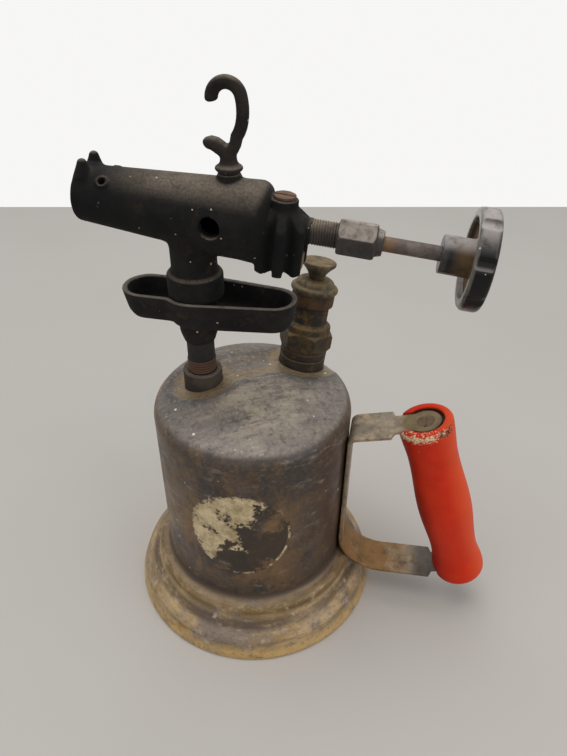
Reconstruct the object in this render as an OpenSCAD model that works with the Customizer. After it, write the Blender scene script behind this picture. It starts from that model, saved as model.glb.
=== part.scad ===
// Gasoline blowtorch of the one quart size: a brass tank on a flared base, a hand pump, and a
// cast burner on a feed pipe with its priming pan, needle valve, iron hook and side grip.
// The origin is on the tank axis at the floor, +X points to the grip, the burner mouth to -X.

/* [Tank] */
// Outside diameter of the tank wall
tank_d = 102; // [98:0.5:106]
// Thickness of the drawn tank wall
tank_wall = 1.2; // [1:0.1:1.6]
// Height of the foot of the tank wall, inside the skirt
tank_foot = 9; // [8:0.5:10]
// Height of the straight wall
wall_h = 114; // [108:1:120]
// Radius of the rounded shoulder
shoulder_r = 9; // [7:0.5:11]
// Rise of the domed top above the rounded shoulder
dome_rise = 7; // [6:0.5:7.5]
// Diameter of the dished pad round each fitting in the top
dish_d = 35; // [33:0.5:37]
// Depth of those pads
dish_depth = 1.8; // [1.6:0.1:2.2]

/* [Base] */
// How far the rolled rim stands out from the tank wall
rim_out = 19.2; // [17.5:0.1:21]
// Sheet thickness of the skirt
skirt_wall = 1.2; // [1:0.1:1.5]
// How far the rounded step stands out from the tank wall
step_out = 6.8; // [6:0.1:7.6]
// Height of the skirt's sleeve above the step
sleeve_h = 6.5; // [5:0.5:8]
// Height of the rounded step above its cove
step_h = 6; // [5:0.5:7]
// Height of the cove above the turn of the flare
cove_h = 9.5; // [8.5:0.5:10.5]
// How far inside the rim the flare turns down
flare_in = 3.2; // [2.6:0.1:4]
// Height where the flare turns down
flare_z = 11; // [10:0.5:12]
// Thickness of the rolled rim
rim_d = 4; // [3.5:0.1:4.5]
// Width of the flat worn under the rolled rim
rim_flat_w = 2.4; // [1.8:0.1:3]
// Sheet thickness of the tank bottom
bottom_wall = 1.2; // [1:0.1:1.5]
// Height of the bottom's edge above the foot of the wall
bottom_lift = 2; // [1.5:0.1:3]
// Height of the bottom's flange inside the wall
bottom_flange_h = 8; // [6:0.5:10]
// Width of the flat ring round the bottom's funnel
funnel_ring = 5.8; // [5:0.1:8]
// Rise of the funnel to its middle
funnel_rise = 13; // [11:0.5:15]

/* [Filler] */
// Bore of the filler bush
filler_bore_d = 15; // [13:0.5:16]
// Outside diameter of the filler bush
filler_bush_d = 22; // [20:0.5:24]
// Length of the filler bush
filler_bush_len = 10; // [9:0.5:12]
// Width of the bush's flange round its body
filler_lip = 2; // [1.5:0.1:2.5]
// Thickness of the bush's flange
filler_lip_t = 2; // [1.5:0.1:2.5]
// Thickness of the filler gasket
filler_gasket_t = 1.2; // [1:0.1:1.6]
// Thickness of the plug's head
filler_head_t = 3.5; // [3:0.1:4]
// Height of the finger bar on the plug
filler_bar_h = 6; // [5:0.5:7]
// Thickness of the finger bar
filler_bar_t = 4; // [3:0.5:5]

/* [Feed pipe] */
// From the tank wall in to the feed pipe
feed_in = 25; // [23:0.5:27]
// Outside diameter of the boss in the tank top
boss_d = 19.6; // [18.6:0.2:21]
// Height of the boss above the dome
boss_h = 6; // [5:0.1:7]
// Depth of the boss below the dome
boss_depth = 7.2; // [6:0.2:9]
// Outside diameter of the feed pipe
pipe_d = 13.7; // [13.2:0.1:14.2]
// Bore of the feed pipe
pipe_bore_d = 9; // [8:0.2:9.6]
// Length of the pipe between the boss and the pan's hub
pipe_bare = 17.4; // [15:0.2:20]
// Length of the pipe that is screwed into the burner
pipe_grip = 12; // [10:0.5:14]
// Height of the bare thread over the pipe's skin
thread_h = 0.35; // [0.25:0.05:0.6]
// Length of the bare thread above the boss
thread_len = 8; // [7:0.5:10]
// Wall of the suction tube inside the tank
suction_wall = 0.9; // [0.7:0.1:1.1]
// Height of the suction tube's end above the middle of the tank bottom
suction_room = 10; // [8:0.5:14]
// How far the suction tube reaches into the feed pipe
suction_lap = 12; // [8:1:16]
// Length of the suction tube's wick that hangs below it
wick_tail = 4; // [2:0.5:5]

/* [Priming pan] */
// Height of the hub under the pan
pan_neck_h = 11.7; // [10.5:0.1:13]
// Height of the cone at the foot of the hub
pan_neck_cone = 6; // [4:0.5:8]
// Diameter of that hub
pan_neck_d = 18.6; // [17.6:0.2:19]
// Depth of the pan under the burner and at its long end
pan_depth = 15.1; // [14.5:0.1:16]
// How much shallower the front lobe is
lobe_rise = 0.8; // [0.4:0.1:1.6]
// Thickness of the cast wall
pan_wall = 2.3; // [2:0.1:2.5]
// Thickness of the cast floor
pan_floor = 3.2; // [2.8:0.1:3.6]
// Space between the burner's collar and the pan's wall
hub_room = 0.8; // [0.7:0.1:1.2]
// Width of the front lobe
lobe_d = 24; // [22:0.2:26]
// From the feed pipe to the centre of the lobe's round end
lobe_reach = 24; // [22:0.5:27]
// Width of the long end
tail_d = 23; // [21:0.2:25]
// From the feed pipe to the centre of the long end
tail_reach = 36.5; // [33:0.5:38]
// How far the walls lean in, and again where they round into the floor
pan_lean = 2.1; // [1.6:0.1:2.2]

/* [Burner] */
// Height of the burner axis above the collar
stem_h = 28.2; // [26:0.2:30]
// Angle at which the mouth points up
burner_tilt = 4.9; // [4:0.1:6]
// From the feed pipe forward to the mouth
mouth_x = 49; // [46:0.5:52]
// Outside diameter of the mouth
mouth_d = 24; // [23.4:0.2:25]
// From the feed pipe back to the end of the tube
tube_back = 30; // [29:0.2:31]
// Outside diameter at the back of the tube
tube_back_d = 34.6; // [33.8:0.2:35.4]
// Radius of the rounded back edge
tube_round = 5; // [4:0.2:6]
// Bore of the combustion chamber
chamber_d = 20; // [19:0.2:20.4]
// From the chamber's end wall to the start of the rounded back edge
chamber_wall = 4; // [3:0.5:5]
// Diameter of the air hole on each side
air_hole_d = 9.5; // [8.5:0.5:10.5]
// From the feed pipe back to the air holes
air_hole_x = 13; // [11:0.5:15]
// Diameter of the small hole on each side near the mouth
vent_d = 3; // [2.4:0.2:3.6]
// From the feed pipe forward to the small holes
vent_x = 35; // [32:0.5:37]
// Angle of the small holes above level
vent_angle = 47; // [40:1:55]
// Diameter of the raised ring round each small hole
vent_ring_d = 5.6; // [5:0.2:6.4]
// Diameter of the foot of each ear on the mouth
ear_d = 8.6; // [8:0.2:9]
// Spacing of the two ears
ear_spacing = 11.2; // [10.8:0.2:11.8]
// Height of the ears above the burner axis
ear_top = 16.8; // [16:0.2:17.6]
// Radius of the ears' blunt tips
ear_tip_r = 2.2; // [1.9:0.1:2.5]
// Diameter of the stem under the burner
stem_d = 21; // [20:0.2:22]
// Diameter of the collar that stands in the pan
collar_d = 26; // [25:0.2:26.4]
// Height of the collar above the pan's rim
collar_rise = 9.7; // [8:0.1:12]
// How far the collar reaches down into the pan
collar_sink = 2; // [1:0.1:2.2]
// Bevel on the collar
collar_bevel = 1; // [0.6:0.1:1.4]

/* [Vaporizer] */
// From the rounded back of the tube to the vaporizer's axis
block_gap = 5.5; // [5:0.1:6]
// Diameter of the vaporizer's core
block_d = 18; // [17:0.2:19]
// Depth of the fins' feet below the burner axis
fin_foot = 18.2; // [17.8:0.2:19]
// Depth of the core's foot below the burner axis
core_foot = 16.6; // [16.4:0.1:17.4]
// Width of a fin
fin_w = 4.4; // [4:0.1:5]
// Reach of the fins from the vaporizer's axis
fin_reach = 14; // [13:0.2:14.6]
// Angle between neighbouring fins
fin_step = 41; // [38:0.5:42]
// Number of fins on each side
fin_count = 3; // [2:1:3]
// Height where the fins start to slope in
fin_shoulder = 2; // [0:0.5:4]
// Height of the top of the fins
fin_top = 9; // [8:0.5:10]
// Bevel on the feet of the fins
fin_bevel = 1.5; // [1:0.1:2]
// Diameter of the drilled fuel passage
passage_d = 3.8; // [3.4:0.1:4]
// Depth of the lower passage below the burner axis
passage_z = 13.9; // [13.7:0.1:14.2]
// Diameter of the rib cast round the lower passage
rib_d = 9; // [8.4:0.2:9.6]
// Diameter of the drilled riser
riser_d = 5; // [4.4:0.2:5.4]
// Diameter of the cleaning plug's boss on top
plug_boss_d = 12; // [11.4:0.2:13]
// Height of that boss above the burner axis
plug_boss_top = 12.3; // [12:0.1:13]
// Thread diameter of the cleaning plugs
plug_thread_d = 6.6; // [6.2:0.2:7]
// Depth of the cleaning plugs' threads
plug_thread_len = 5; // [4:0.5:5.5]
// Head diameter of the top cleaning plug
plug_head_d = 9.6; // [9:0.2:10.4]
// Head thickness of the cleaning plugs
plug_head_t = 1.5; // [1.2:0.1:1.8]
// Head diameter of the rear cleaning plug
rear_head_d = 7.6; // [7.2:0.2:8]
// Width of the screwdriver slots
slot_w = 1.2; // [1:0.1:1.4]

/* [Needle valve] */
// Outside diameter of the valve neck
neck_d = 11.2; // [10.8:0.1:11.8]
// Length of the neck behind the vaporizer's core
neck_len = 21.5; // [20:0.5:23]
// Diameter of the valve spindle
spindle_d = 6.3; // [6:0.1:6.6]
// From the vaporizer's axis back to the spindle's front end
spindle_in = 5.5; // [4.5:0.1:6.5]
// Length of bare spindle between the packing nut and the wheel
spindle_bare = 23.5; // [21:0.5:26]
// Clearance diameter of the valve chamber
valve_room_d = 7.4; // [7:0.2:7.8]
// From the vaporizer's axis back to the end of the valve chamber
valve_room_len = 11.5; // [10:0.5:13]
// Across flats of the packing nut
nut_af = 14.2; // [13.8:0.1:14.8]
// Length of the neck inside the packing nut
nut_lap = 6.5; // [5.5:0.5:7.5]
// Length of the packing nut's hexagon
nut_len = 16; // [15:0.5:17]
// Turn of the hexagon about its axis
nut_turn = 12; // [0:1:30]
// Diameter of the nut's end collar
nut_collar_d = 10.4; // [9.8:0.2:11]
// Length of the nut's end collar
nut_collar_len = 3; // [2:0.5:4]
// Length of the packing
packing_len = 5; // [4:0.5:5.5]
// Diameter of the needle
needle_d = 3.2; // [2.8:0.1:3.6]
// Diameter of the jet's orifice
orifice_d = 0.8; // [0.6:0.1:1]
// Diameter of the jet's thread
jet_thread_d = 6; // [5.6:0.1:6.4]
// Diameter of the jet's shoulder in the chamber
jet_head_d = 9; // [8:0.2:10]
// Diameter of the jet's tip
jet_tip_d = 4; // [3.4:0.2:5]
// Length of the jet inside the chamber
jet_len = 7; // [6:0.5:8]
// Taper of the needle and its seat, radius per length
needle_taper = 0.4; // [0.3:0.05:0.5]

/* [Handwheel] */
// Diameter over the lobes
wheel_d = 42.4; // [40:0.2:45]
// Thickness of the rim
wheel_t = 8.6; // [8:0.2:9.6]
// Number of lobes
wheel_lobes = 8; // [6:1:8]
// Radius of the flutes between the lobes
flute_r = 4; // [3.5:0.5:5]
// Depth of the flutes
flute_depth = 1.2; // [1:0.1:1.5]
// Turn of the lobes about the spindle
wheel_turn = 25; // [0:1:45]
// Radius of the rim's rounded edges
wheel_round = 2; // [1.4:0.2:2.4]
// Width of the lip round the dished face
wheel_lip = 4.5; // [4:0.1:5]
// Depth of the dished face
wheel_dish = 3; // [2.4:0.1:3.2]
// Diameter of the hub
wheel_hub_d = 16; // [15:0.5:17]
// Length of the hub in front of the rim
hub_len = 11; // [9:0.5:13]
// Side of the square end of the spindle
square_w = 4.4; // [4:0.1:4.4]
// Thread diameter of the spindle's end
tail_thread_d = 4; // [3.6:0.1:4.2]
// Across flats of the wheel nut
wheel_nut_af = 8; // [7:0.5:9]
// Thickness of the wheel nut
wheel_nut_t = 3.2; // [2.8:0.1:3.6]

/* [Iron hook] */
// From the feed pipe to the hook along X
hook_x = 18.2; // [17:0.2:19.4]
// Diameter of the hook's boss on the tube
hook_boss_d = 10; // [9.4:0.2:11]
// Height of that boss above the burner axis
hook_boss_h = 17.3; // [16.8:0.1:18.4]
// Diameter of the ring at the foot of the hook
hook_ring_d = 11.6; // [11:0.2:12.4]
// Height of that ring
hook_ring_h = 4; // [3.4:0.2:4.6]
// Diameter of the hook's neck
hook_neck_d = 6.8; // [6.2:0.2:7.4]
// Diameter of the hook's rod at the lower bend
hook_rod_d = 5.8; // [5.4:0.1:6.2]
// How much thinner the rod gets at the back, and again at the upper bend
hook_taper = 0.2; // [0.1:0.05:0.3]
// Height of the neck above the boss
hook_neck_h = 10.8; // [10:0.2:12]
// Height of the centre of the upper bend above the neck
hook_rise = 17.3; // [16.7:0.1:18.2]
// Radius of the upper bend, at the middle of the rod
hook_top_r = 5.9; // [5.6:0.1:6.2]
// Radius of the bowed back, at the middle of the rod
hook_back_r = 22; // [20:0.5:24]
// Radius of the lower bend, at the middle of the rod
hook_low_r = 12; // [11.5:0.5:12.5]
// Angle of the tip round the upper bend
hook_tip = 192; // [186:1:198]
// Angle above level where the upper bend meets the back
hook_back_up = 14; // [12:1:16]
// Angle below level where the back meets the lower bend
hook_back_down = 16; // [14:1:18]
// Angle below level where the lower bend meets the neck
hook_low_end = 55; // [53:1:57]
// Reach of the thumb lobe from the neck to the centre of its tip
thumb_reach = 8.2; // [7.8:0.2:9]
// Angle of the thumb lobe above level
thumb_lift = 9; // [6:1:13]
// Thickness of the thumb lobe at its tip
thumb_d = 5.2; // [4.8:0.1:5.6]
// Thread diameter of the hook's stud
hook_stud_d = 5; // [4.6:0.1:5.4]
// Length of the hook's stud
hook_stud_len = 6; // [5:0.5:6.5]

/* [Pump] */
// From the tank wall in to the pump at the dome
pump_in = 15; // [14.4:0.2:16]
// Direction of the pump from the tank axis, from +X towards +Y
pump_azimuth = 56.5; // [52:0.5:61]
// Lean of the pump outwards, from upright
pump_lean = 11; // [9:0.5:13]
// Depth of the pump's seat below the dome
pump_sink = 0.7; // [0.4:0.1:1.2]
// Outside diameter of the bush in the tank top
bush_d = 24.6; // [24:0.2:25.4]
// Height of the bush above the pump's seat
bush_h = 8; // [7:0.5:9]
// Depth of the bush inside the tank
bush_foot = 6; // [5:0.5:7]
// Depth of the groove round the bush
bush_groove = 0.8; // [0.6:0.1:1]
// Thread diameter of the pump head in the bush
head_thread_d = 19; // [18.6:0.1:19.4]
// Thickness of the gasket under the head
head_gasket_t = 1; // [0.8:0.1:1.2]
// Across flats of the head's hexagon
head_af = 24.6; // [24:0.2:25.4]
// Height of the head's hexagon
head_hex_h = 10; // [9:0.5:11]
// Diameter of the head's bead
bead_d = 24; // [23:0.2:24.4]
// Height of the head's bead
bead_h = 5; // [4:0.5:6]
// Diameter of the head's throat
throat_d = 18.6; // [18:0.2:19.2]
// Height of the head's throat
throat_h = 9.5; // [8.5:0.5:10.5]
// Diameter of the flange under the cap
flange_d = 22; // [21:0.2:22.8]
// Height of the flange under the cap
flange_h = 6.5; // [5.5:0.5:7.5]
// Diameter of the cap
cap_d = 24.4; // [23.4:0.2:25.4]
// Thickness of the cap's rounded rim
cap_rim_t = 3.7; // [3.2:0.1:4.2]
// Diameter of the cap's raised crown
crown_d = 20; // [19:0.2:21]
// Rise of the crown above the rim
cap_rise = 3.3; // [2.8:0.1:3.8]
// Diameter of the spigot inside the cap
spigot_d = 14.6; // [14:0.2:15]
// Height of the spigot inside the cap
spigot_h = 5; // [4:0.5:5.5]
// Outside diameter of the pump barrel
barrel_d = 15.4; // [15:0.1:15.6]
// Wall of the pump barrel
barrel_wall = 0.8; // [0.6:0.1:1]
// Diameter of the plunger rod, as a share of the barrel's bore
rod_share = 0.435; // [0.4:0.005:0.46]
// Space round the washer inside the cup leather
washer_gap = 0.3; // [0.2:0.1:0.5]
// Space under the pump, above the middle of the tank bottom
pump_room = 12.35; // [10:0.05:20]
// Diameter of the knob's top
knob_d = 17.8; // [16.6:0.2:19]
// Diameter of the knob's waist
knob_waist_d = 8; // [7.4:0.2:8.6]
// Height of the knob
knob_h = 9; // [8:0.5:10]
// Thickness of the knob's edge
knob_edge = 1.6; // [1.2:0.1:2]
// Depth of the cup leather
cup_h = 6; // [5:0.5:7]
// Thickness of the cup leather
cup_t = 1.6; // [1.3:0.1:1.8]
// Thickness of the washer behind the leather
backing_t = 1.5; // [1.2:0.1:2]
// Across flats of the plunger nut
plunger_nut_af = 10; // [9.5:0.5:10.5]
// Thickness of the plunger nut
plunger_nut_t = 3; // [2.6:0.1:3.4]
// Space left under the plunger nut
plunger_room = 2; // [1.5:0.5:3]

/* [Check valve] */
// Length of the valve body's spigot in the barrel
check_spigot = 5; // [4:0.5:6]
// Length of the valve body below the barrel
check_len = 11; // [10:0.5:12]
// Diameter of the valve's port
port_d = 3; // [2.6:0.1:3.4]
// Bore of the valve's chamber
check_bore_d = 10; // [9.4:0.2:10.6]
// Thickness of the wall that holds the seat
seat_t = 2; // [1.6:0.1:2.4]
// Diameter of the valve disc
disc_d = 7.6; // [7:0.2:8.2]
// Thickness of the valve disc
disc_t = 1.6; // [1.3:0.1:2]
// Thickness of the ring that holds the spring
keeper_t = 1.6; // [1.3:0.1:2]
// Outlet in that ring
outlet_d = 3.4; // [3:0.1:3.8]
// Wire of the valve spring
wire_d = 0.6; // [0.5:0.05:0.7]
// Coil diameter of the valve spring, at the wire's centre
coil_d = 5.4; // [5:0.1:5.8]
// Number of coils in the valve spring
coils = 4; // [3:1:5]

/* [Handle] */
// Width of the bracket's strap
strap_w = 20.8; // [19:0.2:22]
// Thickness of the strap
strap_t = 2; // [1.8:0.1:2.4]
// Width of the tongues that enter the grip
tongue_w = 13.2; // [12:0.2:15]
// Diameter of the round pad at the end of each tongue
pad_d = 16.4; // [15.4:0.2:17]
// Length of each tongue from the screw to its knee
tongue_run = 14; // [13:0.5:16]
// Radius of the slight bend at the upper knee
knee_r = 40; // [30:5:50]
// Slope of the upper arm, up towards the grip
upper_slope = 15.5; // [14:0.5:17]
// Outer radius of the strap's upper bend
upper_bend_r = 5; // [4:0.5:7]
// Outer radius of the strap's lower bend
lower_bend_r = 24; // [23:0.5:25]
// Height below the skirt's edge at which the lower arm's line meets the tank wall
arm_hang = 16.7; // [16:0.1:17.4]
// Slope of the lower arm, up towards the grip
lower_slope = 4.6; // [4:0.1:5.2]
// Radius of the lower arm's bend towards the grip
arm_bend_r = 14; // [12:1:18]
// Rise of the lower tongue at the screw above the foot of the arm's line
tongue_rise = 9.4; // [9:0.1:10]
// From the tank wall to the grip's upper end
grip_gap = 36; // [34:0.5:38]
// Lean of the grip, its foot away from the tank
grip_lean = 18.2; // [17:0.1:19]
// How much shorter the grip is than the tank's straight wall
grip_short = 1; // [0:0.5:3]
// Diameter at the upper end
grip_top_d = 27.8; // [27:0.2:29]
// Diameter at the upper neck
grip_neck_d = 25.4; // [24.8:0.2:26.4]
// Diameter at the swell
grip_swell_d = 28.7; // [28:0.1:29.6]
// Diameter at the lower neck
grip_waist_d = 25; // [24.4:0.2:26]
// Diameter at the bulb
grip_bulb_d = 28.4; // [27.6:0.2:29.2]
// Place of the upper neck, as a share of the grip's length
neck_share = 0.21; // [0.18:0.005:0.23]
// Place of the swell, as a share of the grip's length
swell_share = 0.52; // [0.48:0.005:0.55]
// Place of the lower neck, as a share of the grip's length
waist_share = 0.805; // [0.77:0.005:0.83]
// Place of the bulb, as a share of the grip's length
bulb_share = 0.945; // [0.93:0.005:0.95]
// Radius of the rounded lower end
grip_end_r = 5; // [4:0.5:6]
// Diameter of the recess in each end
recess_d = 19.4; // [19:0.2:20]
// Depth of the tongue below the upper end
tongue_depth = 1; // [0.6:0.1:2]
// Depth of the lower tongue above the lower end
lower_depth = 7; // [6:0.5:8]
// Diameter of the handle screw
screw_d = 4.8; // [4.4:0.1:5.2]
// Diameter of the countersink for the screw's head
sink_d = 9.8; // [9:0.2:10.6]
// How deep the screw's head lies in the countersink
head_sink = 0.5; // [0.2:0.1:0.8]
// Depth of the slot in the screw's head
head_slot = 0.8; // [0.5:0.1:1]
// Across flats of the handle nut
screw_nut_af = 8; // [7.5:0.5:9]
// Thickness of the handle nut
screw_nut_t = 3.6; // [3:0.1:4]

/* [Fits] */
// Radial clearance of a shaft that moves in its hole
run_gap = 0.05; // [0.02:0.01:0.09]
// Radial clearance of pieces that are screwed, soldered or pushed together
seat_gap = 0.05; // [0.02:0.01:0.09]
// Clearance of the grip's slots round the tongues
slot_gap = 0.2; // [0.1:0.05:0.4]

/* [Hidden] */
$fn = 64;
cut = 1;
hook_lap = 2;

// Tank: a straight wall, a rounded shoulder and a dome that is part of one sphere
tank_r = tank_d / 2;
shoulder_z = tank_foot + wall_h;
shoulder_x = tank_r - shoulder_r;
crown_h = shoulder_r + dome_rise;
tank_crown = shoulder_z + crown_h;
dome_r = (pow(shoulder_x, 2) + pow(crown_h, 2) - pow(shoulder_r, 2)) / (2 * dome_rise);
dome_base = tank_crown - dome_r;
dome_edge = atan2(shoulder_z - dome_base, shoulder_x);
dish_r = 1 / (8 * dish_depth / pow(dish_d, 2) - 1 / dome_r);
funnel_z = tank_foot + bottom_lift + funnel_rise;
step_z = flare_z + cove_h + step_h;
skirt_top = step_z + sleeve_h;

// Heights up the feed pipe, from the dome to the hook
feed_x = feed_in - tank_r;
feed_lean = asin(feed_x / dome_r);
dome_at_feed = dome_base + dome_r * cos(feed_lean);
boss_foot = dome_at_feed - boss_depth;
boss_top = dome_at_feed + boss_h;
pan_neck_foot = boss_top + pipe_bare;
pan_rim_z = pan_neck_foot + pan_neck_h + pan_depth;
pan_floor_z = pan_rim_z - pan_depth + pan_floor;
pipe_top = pan_floor_z + pipe_grip;
collar_top = pan_rim_z + collar_rise;
burner_z = collar_top + stem_h;
hook_boss_top = burner_z + hook_boss_h;
hook_neck_top = hook_boss_top + hook_neck_h;
hook_top_z = hook_neck_top + hook_rise;
suction_foot = funnel_z + suction_room;

// Heights along the pump axis, from its seat outwards
pump_reach = tank_r - pump_in;
dome_lean_at_pump = asin(pump_reach / dome_r);
pump_seat_z = dome_base + dome_r * cos(dome_lean_at_pump) - pump_sink;
hex_a = bush_h + head_gasket_t;
bead_a = hex_a + head_hex_h;
throat_a = bead_a + bead_h;
flange_a = throat_a + throat_h;
cap_a = flange_a + flange_h;
cap_top = cap_a + cap_rim_t + cap_rise;
barrel_top = hex_a + head_hex_h / 2;
keeper_a = (funnel_z + pump_room - pump_seat_z) / cos(pump_lean);
barrel_foot = -keeper_a - check_len;
barrel_bore_d = barrel_d - 2 * barrel_wall;
rod_d = barrel_bore_d * rod_share;
plunger_foot = plunger_room + check_spigot - barrel_foot;
cup_a = plunger_foot + plunger_nut_t;
backing_a = cup_a + cup_t;
seat_a = -barrel_foot - seat_t;
disc_a = seat_a - seat_gap - disc_t;

// Places along the burner axis, from the feed pipe back
chamber_back = tube_back - chamber_wall;
block_x = tube_back + tube_round + block_gap;
block_back = block_x + block_d / 2;
valve_room_front = chamber_back + jet_len - cut;
valve_room_back = block_x + valve_room_len;
neck_end = block_back + neck_len;
packing_back = neck_end + packing_len;
nut_front = neck_end - nut_lap;
spindle_front = block_x + spindle_in;
hub_front = nut_front + nut_len + nut_collar_len + spindle_bare;
rim_front = hub_front + hub_len;
rim_back = rim_front + wheel_t;
web_back = rim_back - wheel_dish;
needle_tip = chamber_back;
seat_back = needle_tip + needle_d / 2 / needle_taper;

// The grip's axis and the strap's bends, in the plane of the burner and grip
grip_len = wall_h - grip_short;
grip_down = [sin(grip_lean), -cos(grip_lean)];
grip_across = [cos(grip_lean), sin(grip_lean)];
strap_x = tank_r + seat_gap;
lower_corner = [strap_x, skirt_top - arm_hang];
lower_run = grip_len - lower_depth + strap_t;
lower_seat = [tank_r + grip_gap + lower_run * grip_down[0], lower_corner[1] + tongue_rise];
grip_top = lower_seat - lower_run * grip_down;
upper_seat = grip_top + tongue_depth * grip_down;
upper_knee = upper_seat - tongue_run * grip_across;
upper_corner = [strap_x, upper_knee[1] - (upper_knee[0] - strap_x) * tan(upper_slope)];
arm_run = (lower_seat[1] - lower_corner[1] - (lower_seat[0] - strap_x) * tan(lower_slope))
    / (tan(grip_lean) - tan(lower_slope));
arm_corner = lower_seat - arm_run * [1, tan(grip_lean)];

// Outlines: arcs, rounded corners, sheets of even thickness and smooth turned profiles
function unit(v) = v / norm(v);
function left_of(v) = [-v[1], v[0]];
function backwards(list) = [for (i = [len(list) - 1:-1:0]) list[i]];
function after_first(list) = [for (i = [1:len(list) - 1]) list[i]];
function arc(centre, r, from, to, steps = 10) =
    [for (i = [0:steps]) let (a = from + (to - from) * i / steps) centre + r * [cos(a), sin(a)]];
function short_turn(a) = a > 180 ? a - 360 : a < -180 ? a + 360 : a;
function rounded(before, at, after, r, steps = 8) =
    let (
        u = unit(before - at),
        v = unit(after - at),
        half = acos(u * v) / 2,
        centre = at + unit(u + v) * r / sin(half),
        start = at + u * r / tan(half) - centre,
        end = at + v * r / tan(half) - centre,
        from = atan2(start[1], start[0]),
        turn = short_turn(atan2(end[1], end[0]) - from)
    ) arc(centre, r, from, from + turn, steps);
function route(points, radii) = [
    for (i = [0:len(points) - 1])
        let (ends = i == 0 || i == len(points) - 1)
        each ends ? [points[i]] : rounded(points[i - 1], points[i], points[i + 1], radii[i - 1])];
function beside(path, w) = [
    for (i = [0:len(path) - 1])
        let (along = unit(path[min(i + 1, len(path) - 1)] - path[max(i - 1, 0)]))
        path[i] + w * left_of(along)];
function sheet(path, w) = concat(path, backwards(beside(path, w)));
function ease(from, to, share) = from + (to - from) * (1 - cos(180 * share)) / 2;
function turned(stations, steps = 8) = [
    for (i = [0:len(stations) - 2], k = [0:steps - 1])
        let (share = k / steps)
        [ease(stations[i][0], stations[i + 1][0], share),
            stations[i][1] + (stations[i + 1][1] - stations[i][1]) * share]];
function hex_d(across_flats) = across_flats / cos(30);

// Frames of the four leaning groups
module at_feed() { translate([feed_x, 0, 0]) children(); }
module at_burner(x = 0, z = 0) {
    translate([feed_x, 0, burner_z]) rotate([0, burner_tilt, 0]) translate([x, 0, z]) children();
}
module along_burner(x = 0, z = 0) { at_burner(x, z) rotate([0, 90, 0]) children(); }
module on_dome(lean, azimuth, out = 0) {
    translate([0, 0, dome_base]) rotate([0, lean, azimuth]) translate([0, 0, dome_r + out]) children();
}
module at_pump(a = 0) {
    rotate(pump_azimuth) translate([pump_reach, 0, pump_seat_z]) rotate([0, pump_lean, 0])
        translate([0, 0, a]) children();
}
module at_grip(down = 0) {
    translate([grip_top[0], 0, grip_top[1]]) rotate([0, -grip_lean, 0]) translate([0, 0, -down]) children();
}

// Plain rings, hexagons, nuts and slotted heads
module ring(outer_d, inner_d, h) {
    difference() {
        cylinder(d = outer_d, h = h);
        translate([0, 0, -cut]) cylinder(d = inner_d, h = h + 2 * cut);
    }
}
module hexagon(across_flats, h) {
    bevel = (hex_d(across_flats) - across_flats) / 2;
    r = hex_d(across_flats) / 2;
    intersection() {
        cylinder(d = hex_d(across_flats), h = h, $fn = 6);
        rotate_extrude()
            polygon([[0, 0], [r - bevel, 0], [r, bevel], [r, h - bevel], [r - bevel, h], [0, h]]);
    }
}
module hex_nut(across_flats, bore_d, h) {
    difference() {
        hexagon(across_flats, h);
        translate([0, 0, -cut]) cylinder(d = bore_d, h = h + 2 * cut);
    }
}
module slot(head_d, depth) {
    translate([-head_d, -slot_w / 2, -depth]) cube([2 * head_d, slot_w, depth + cut]);
}

// Tank and base
function tank_path(inset) = concat(
    arc([shoulder_x, shoulder_z], shoulder_r - inset, 0, dome_edge),
    after_first(arc([0, dome_base], dome_r - inset, dome_edge, 90)));
// The hollow round a fitting, its poles turned out of the way to the sides
module dish(inset) { rotate([90, 0, 0]) sphere(r = dish_r + inset, $fn = 200); }
module tank_form(inset, foot) {
    difference() {
        rotate_extrude($fn = 128) polygon(concat([[0, foot], [tank_r - inset, foot]],
            tank_path(inset)));
        on_dome(feed_lean, 0, dish_r - dish_depth) dish(inset);
        on_dome(dome_lean_at_pump, pump_azimuth, dish_r - dish_depth) dish(inset);
    }
}
module tank_shell() {
    color("darkkhaki")
    difference() {
        tank_form(0, tank_foot);
        tank_form(tank_wall, tank_foot - cut);
        at_feed() translate([0, 0, boss_foot]) cylinder(d = boss_d + 2 * seat_gap, h = boss_top - boss_foot);
        at_pump(-bush_foot) cylinder(d = bush_d + 2 * seat_gap, h = bush_foot + bush_h);
    }
}
module base_skirt() {
    sleeve_r = tank_r + seat_gap + skirt_wall;
    rim_r = rim_d / 2;
    step_r = tank_r + step_out;
    rim_at = [tank_r + rim_out - rim_r, sqrt(pow(rim_d, 2) - pow(rim_flat_w, 2)) / 2];
    flare = [tank_r + rim_out - flare_in, flare_z];
    flare_lean = atan2(flare[1] - rim_at[1], flare[0] - rim_at[0]) - acos(rim_r / norm(flare - rim_at));
    inner_meet = flare_lean + acos(1 - skirt_wall / rim_r) - 360;
    flat = asin(rim_at[1] / rim_r);
    bend = skirt_wall + 1;
    outer = route(
        [[sleeve_r, skirt_top], [sleeve_r, step_z + bend], [step_r, step_z], [step_r, step_z - step_h],
            flare, rim_at + rim_r * [cos(flare_lean), sin(flare_lean)]],
        [bend, 2 * bend, 3 * bend, 3 * bend]);
    inner = beside(outer, -skirt_wall);
    color("peru")
    rotate_extrude($fn = 128) polygon(concat(outer, arc(rim_at, rim_r, flare_lean, -flat),
        arc(rim_at, rim_r, flat - 180, inner_meet), [for (i = [len(inner) - 2:-1:0]) inner[i]]));
}
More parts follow.
